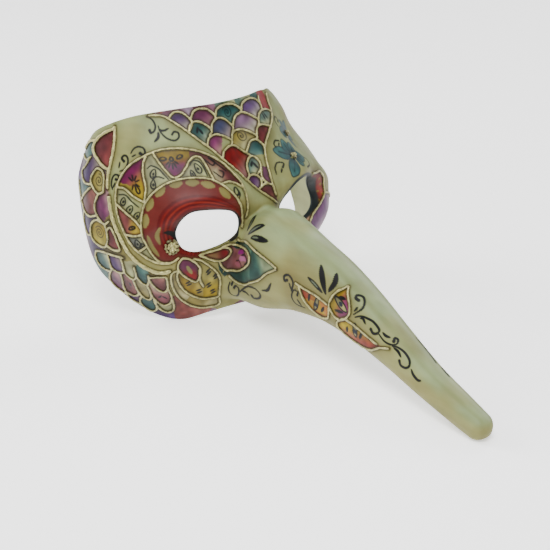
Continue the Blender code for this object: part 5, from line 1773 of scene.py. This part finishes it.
FLOOR = 6.0                     # metres from the middle to each side
corners = [(-FLOOR, -FLOOR, 0), (FLOOR, -FLOOR, 0), (FLOOR, FLOOR, 0), (-FLOOR, FLOOR, 0)]
floor_mesh = bpy.data.meshes.new("floor")
floor_mesh.from_pydata(corners, [], [(0, 1, 2, 3)])
floor_mesh.materials.append(floor_paint())
floor = bpy.data.objects.new("floor", floor_mesh)
bpy.context.collection.objects.link(floor)

world = bpy.data.worlds.new("studio")
bpy.context.scene.world = world
world.use_nodes = True
background = world.node_tree.nodes["Background"]
background.inputs["Color"].default_value = (1.0, 1.0, 1.0, 1)
background.inputs["Strength"].default_value = 0.27


def softbox(name, place, target, size, power):
    """Round area light: where it stands, where it points, width in metres and watts."""
    light = bpy.data.lights.new(name, "AREA")
    light.shape = "DISK"
    light.size = size
    light.energy = power
    made = bpy.data.objects.new(name, light)
    made.location = place
    made.rotation_euler = (Vector(target) - Vector(place)).to_track_quat("-Z", "Y").to_euler()
    bpy.context.collection.objects.link(made)


softbox("key_softbox", (-0.55, -0.62, 1.25), (0, 0, 0.05), 0.7, 29)
softbox("overhead_softbox", (-0.1, 0.1, 1.3), (0, 0, 0.05), 1.0, 9)
softbox("back_softbox", (-0.7, 1.1, 0.7), (0, 0.05, 0.07), 0.8, 22)
softbox("rim_softbox", (0.9, 0.3, 0.8), (0, -0.02, 0.06), 0.7, 7)

CAMERA_PLACE = Vector((-0.58503, -0.69257, 0.48671))
CAMERA_AROUND = -38.562         # degrees round from straight in front, towards the wearer's left
CAMERA_DOWN = 25.792            # degrees it looks down
CAMERA_ROLL = -0.265
SENSOR = 36                     # millimetres
FOCAL_LENGTH = 110.8
camera_data = bpy.data.cameras.new("camera")
camera_data.sensor_width = SENSOR
camera_data.lens = FOCAL_LENGTH
camera = bpy.data.objects.new("camera", camera_data)
camera.matrix_world = (Matrix.Translation(CAMERA_PLACE)
                       @ Matrix.Rotation(math.radians(CAMERA_AROUND), 4, "Z")
                       @ Matrix.Rotation(math.radians(90 - CAMERA_DOWN), 4, "X")
                       @ Matrix.Rotation(math.radians(CAMERA_ROLL), 4, "Z"))
camera_data.clip_start = 0.05
camera_data.clip_end = 30
bpy.context.collection.objects.link(camera)
bpy.context.scene.camera = camera
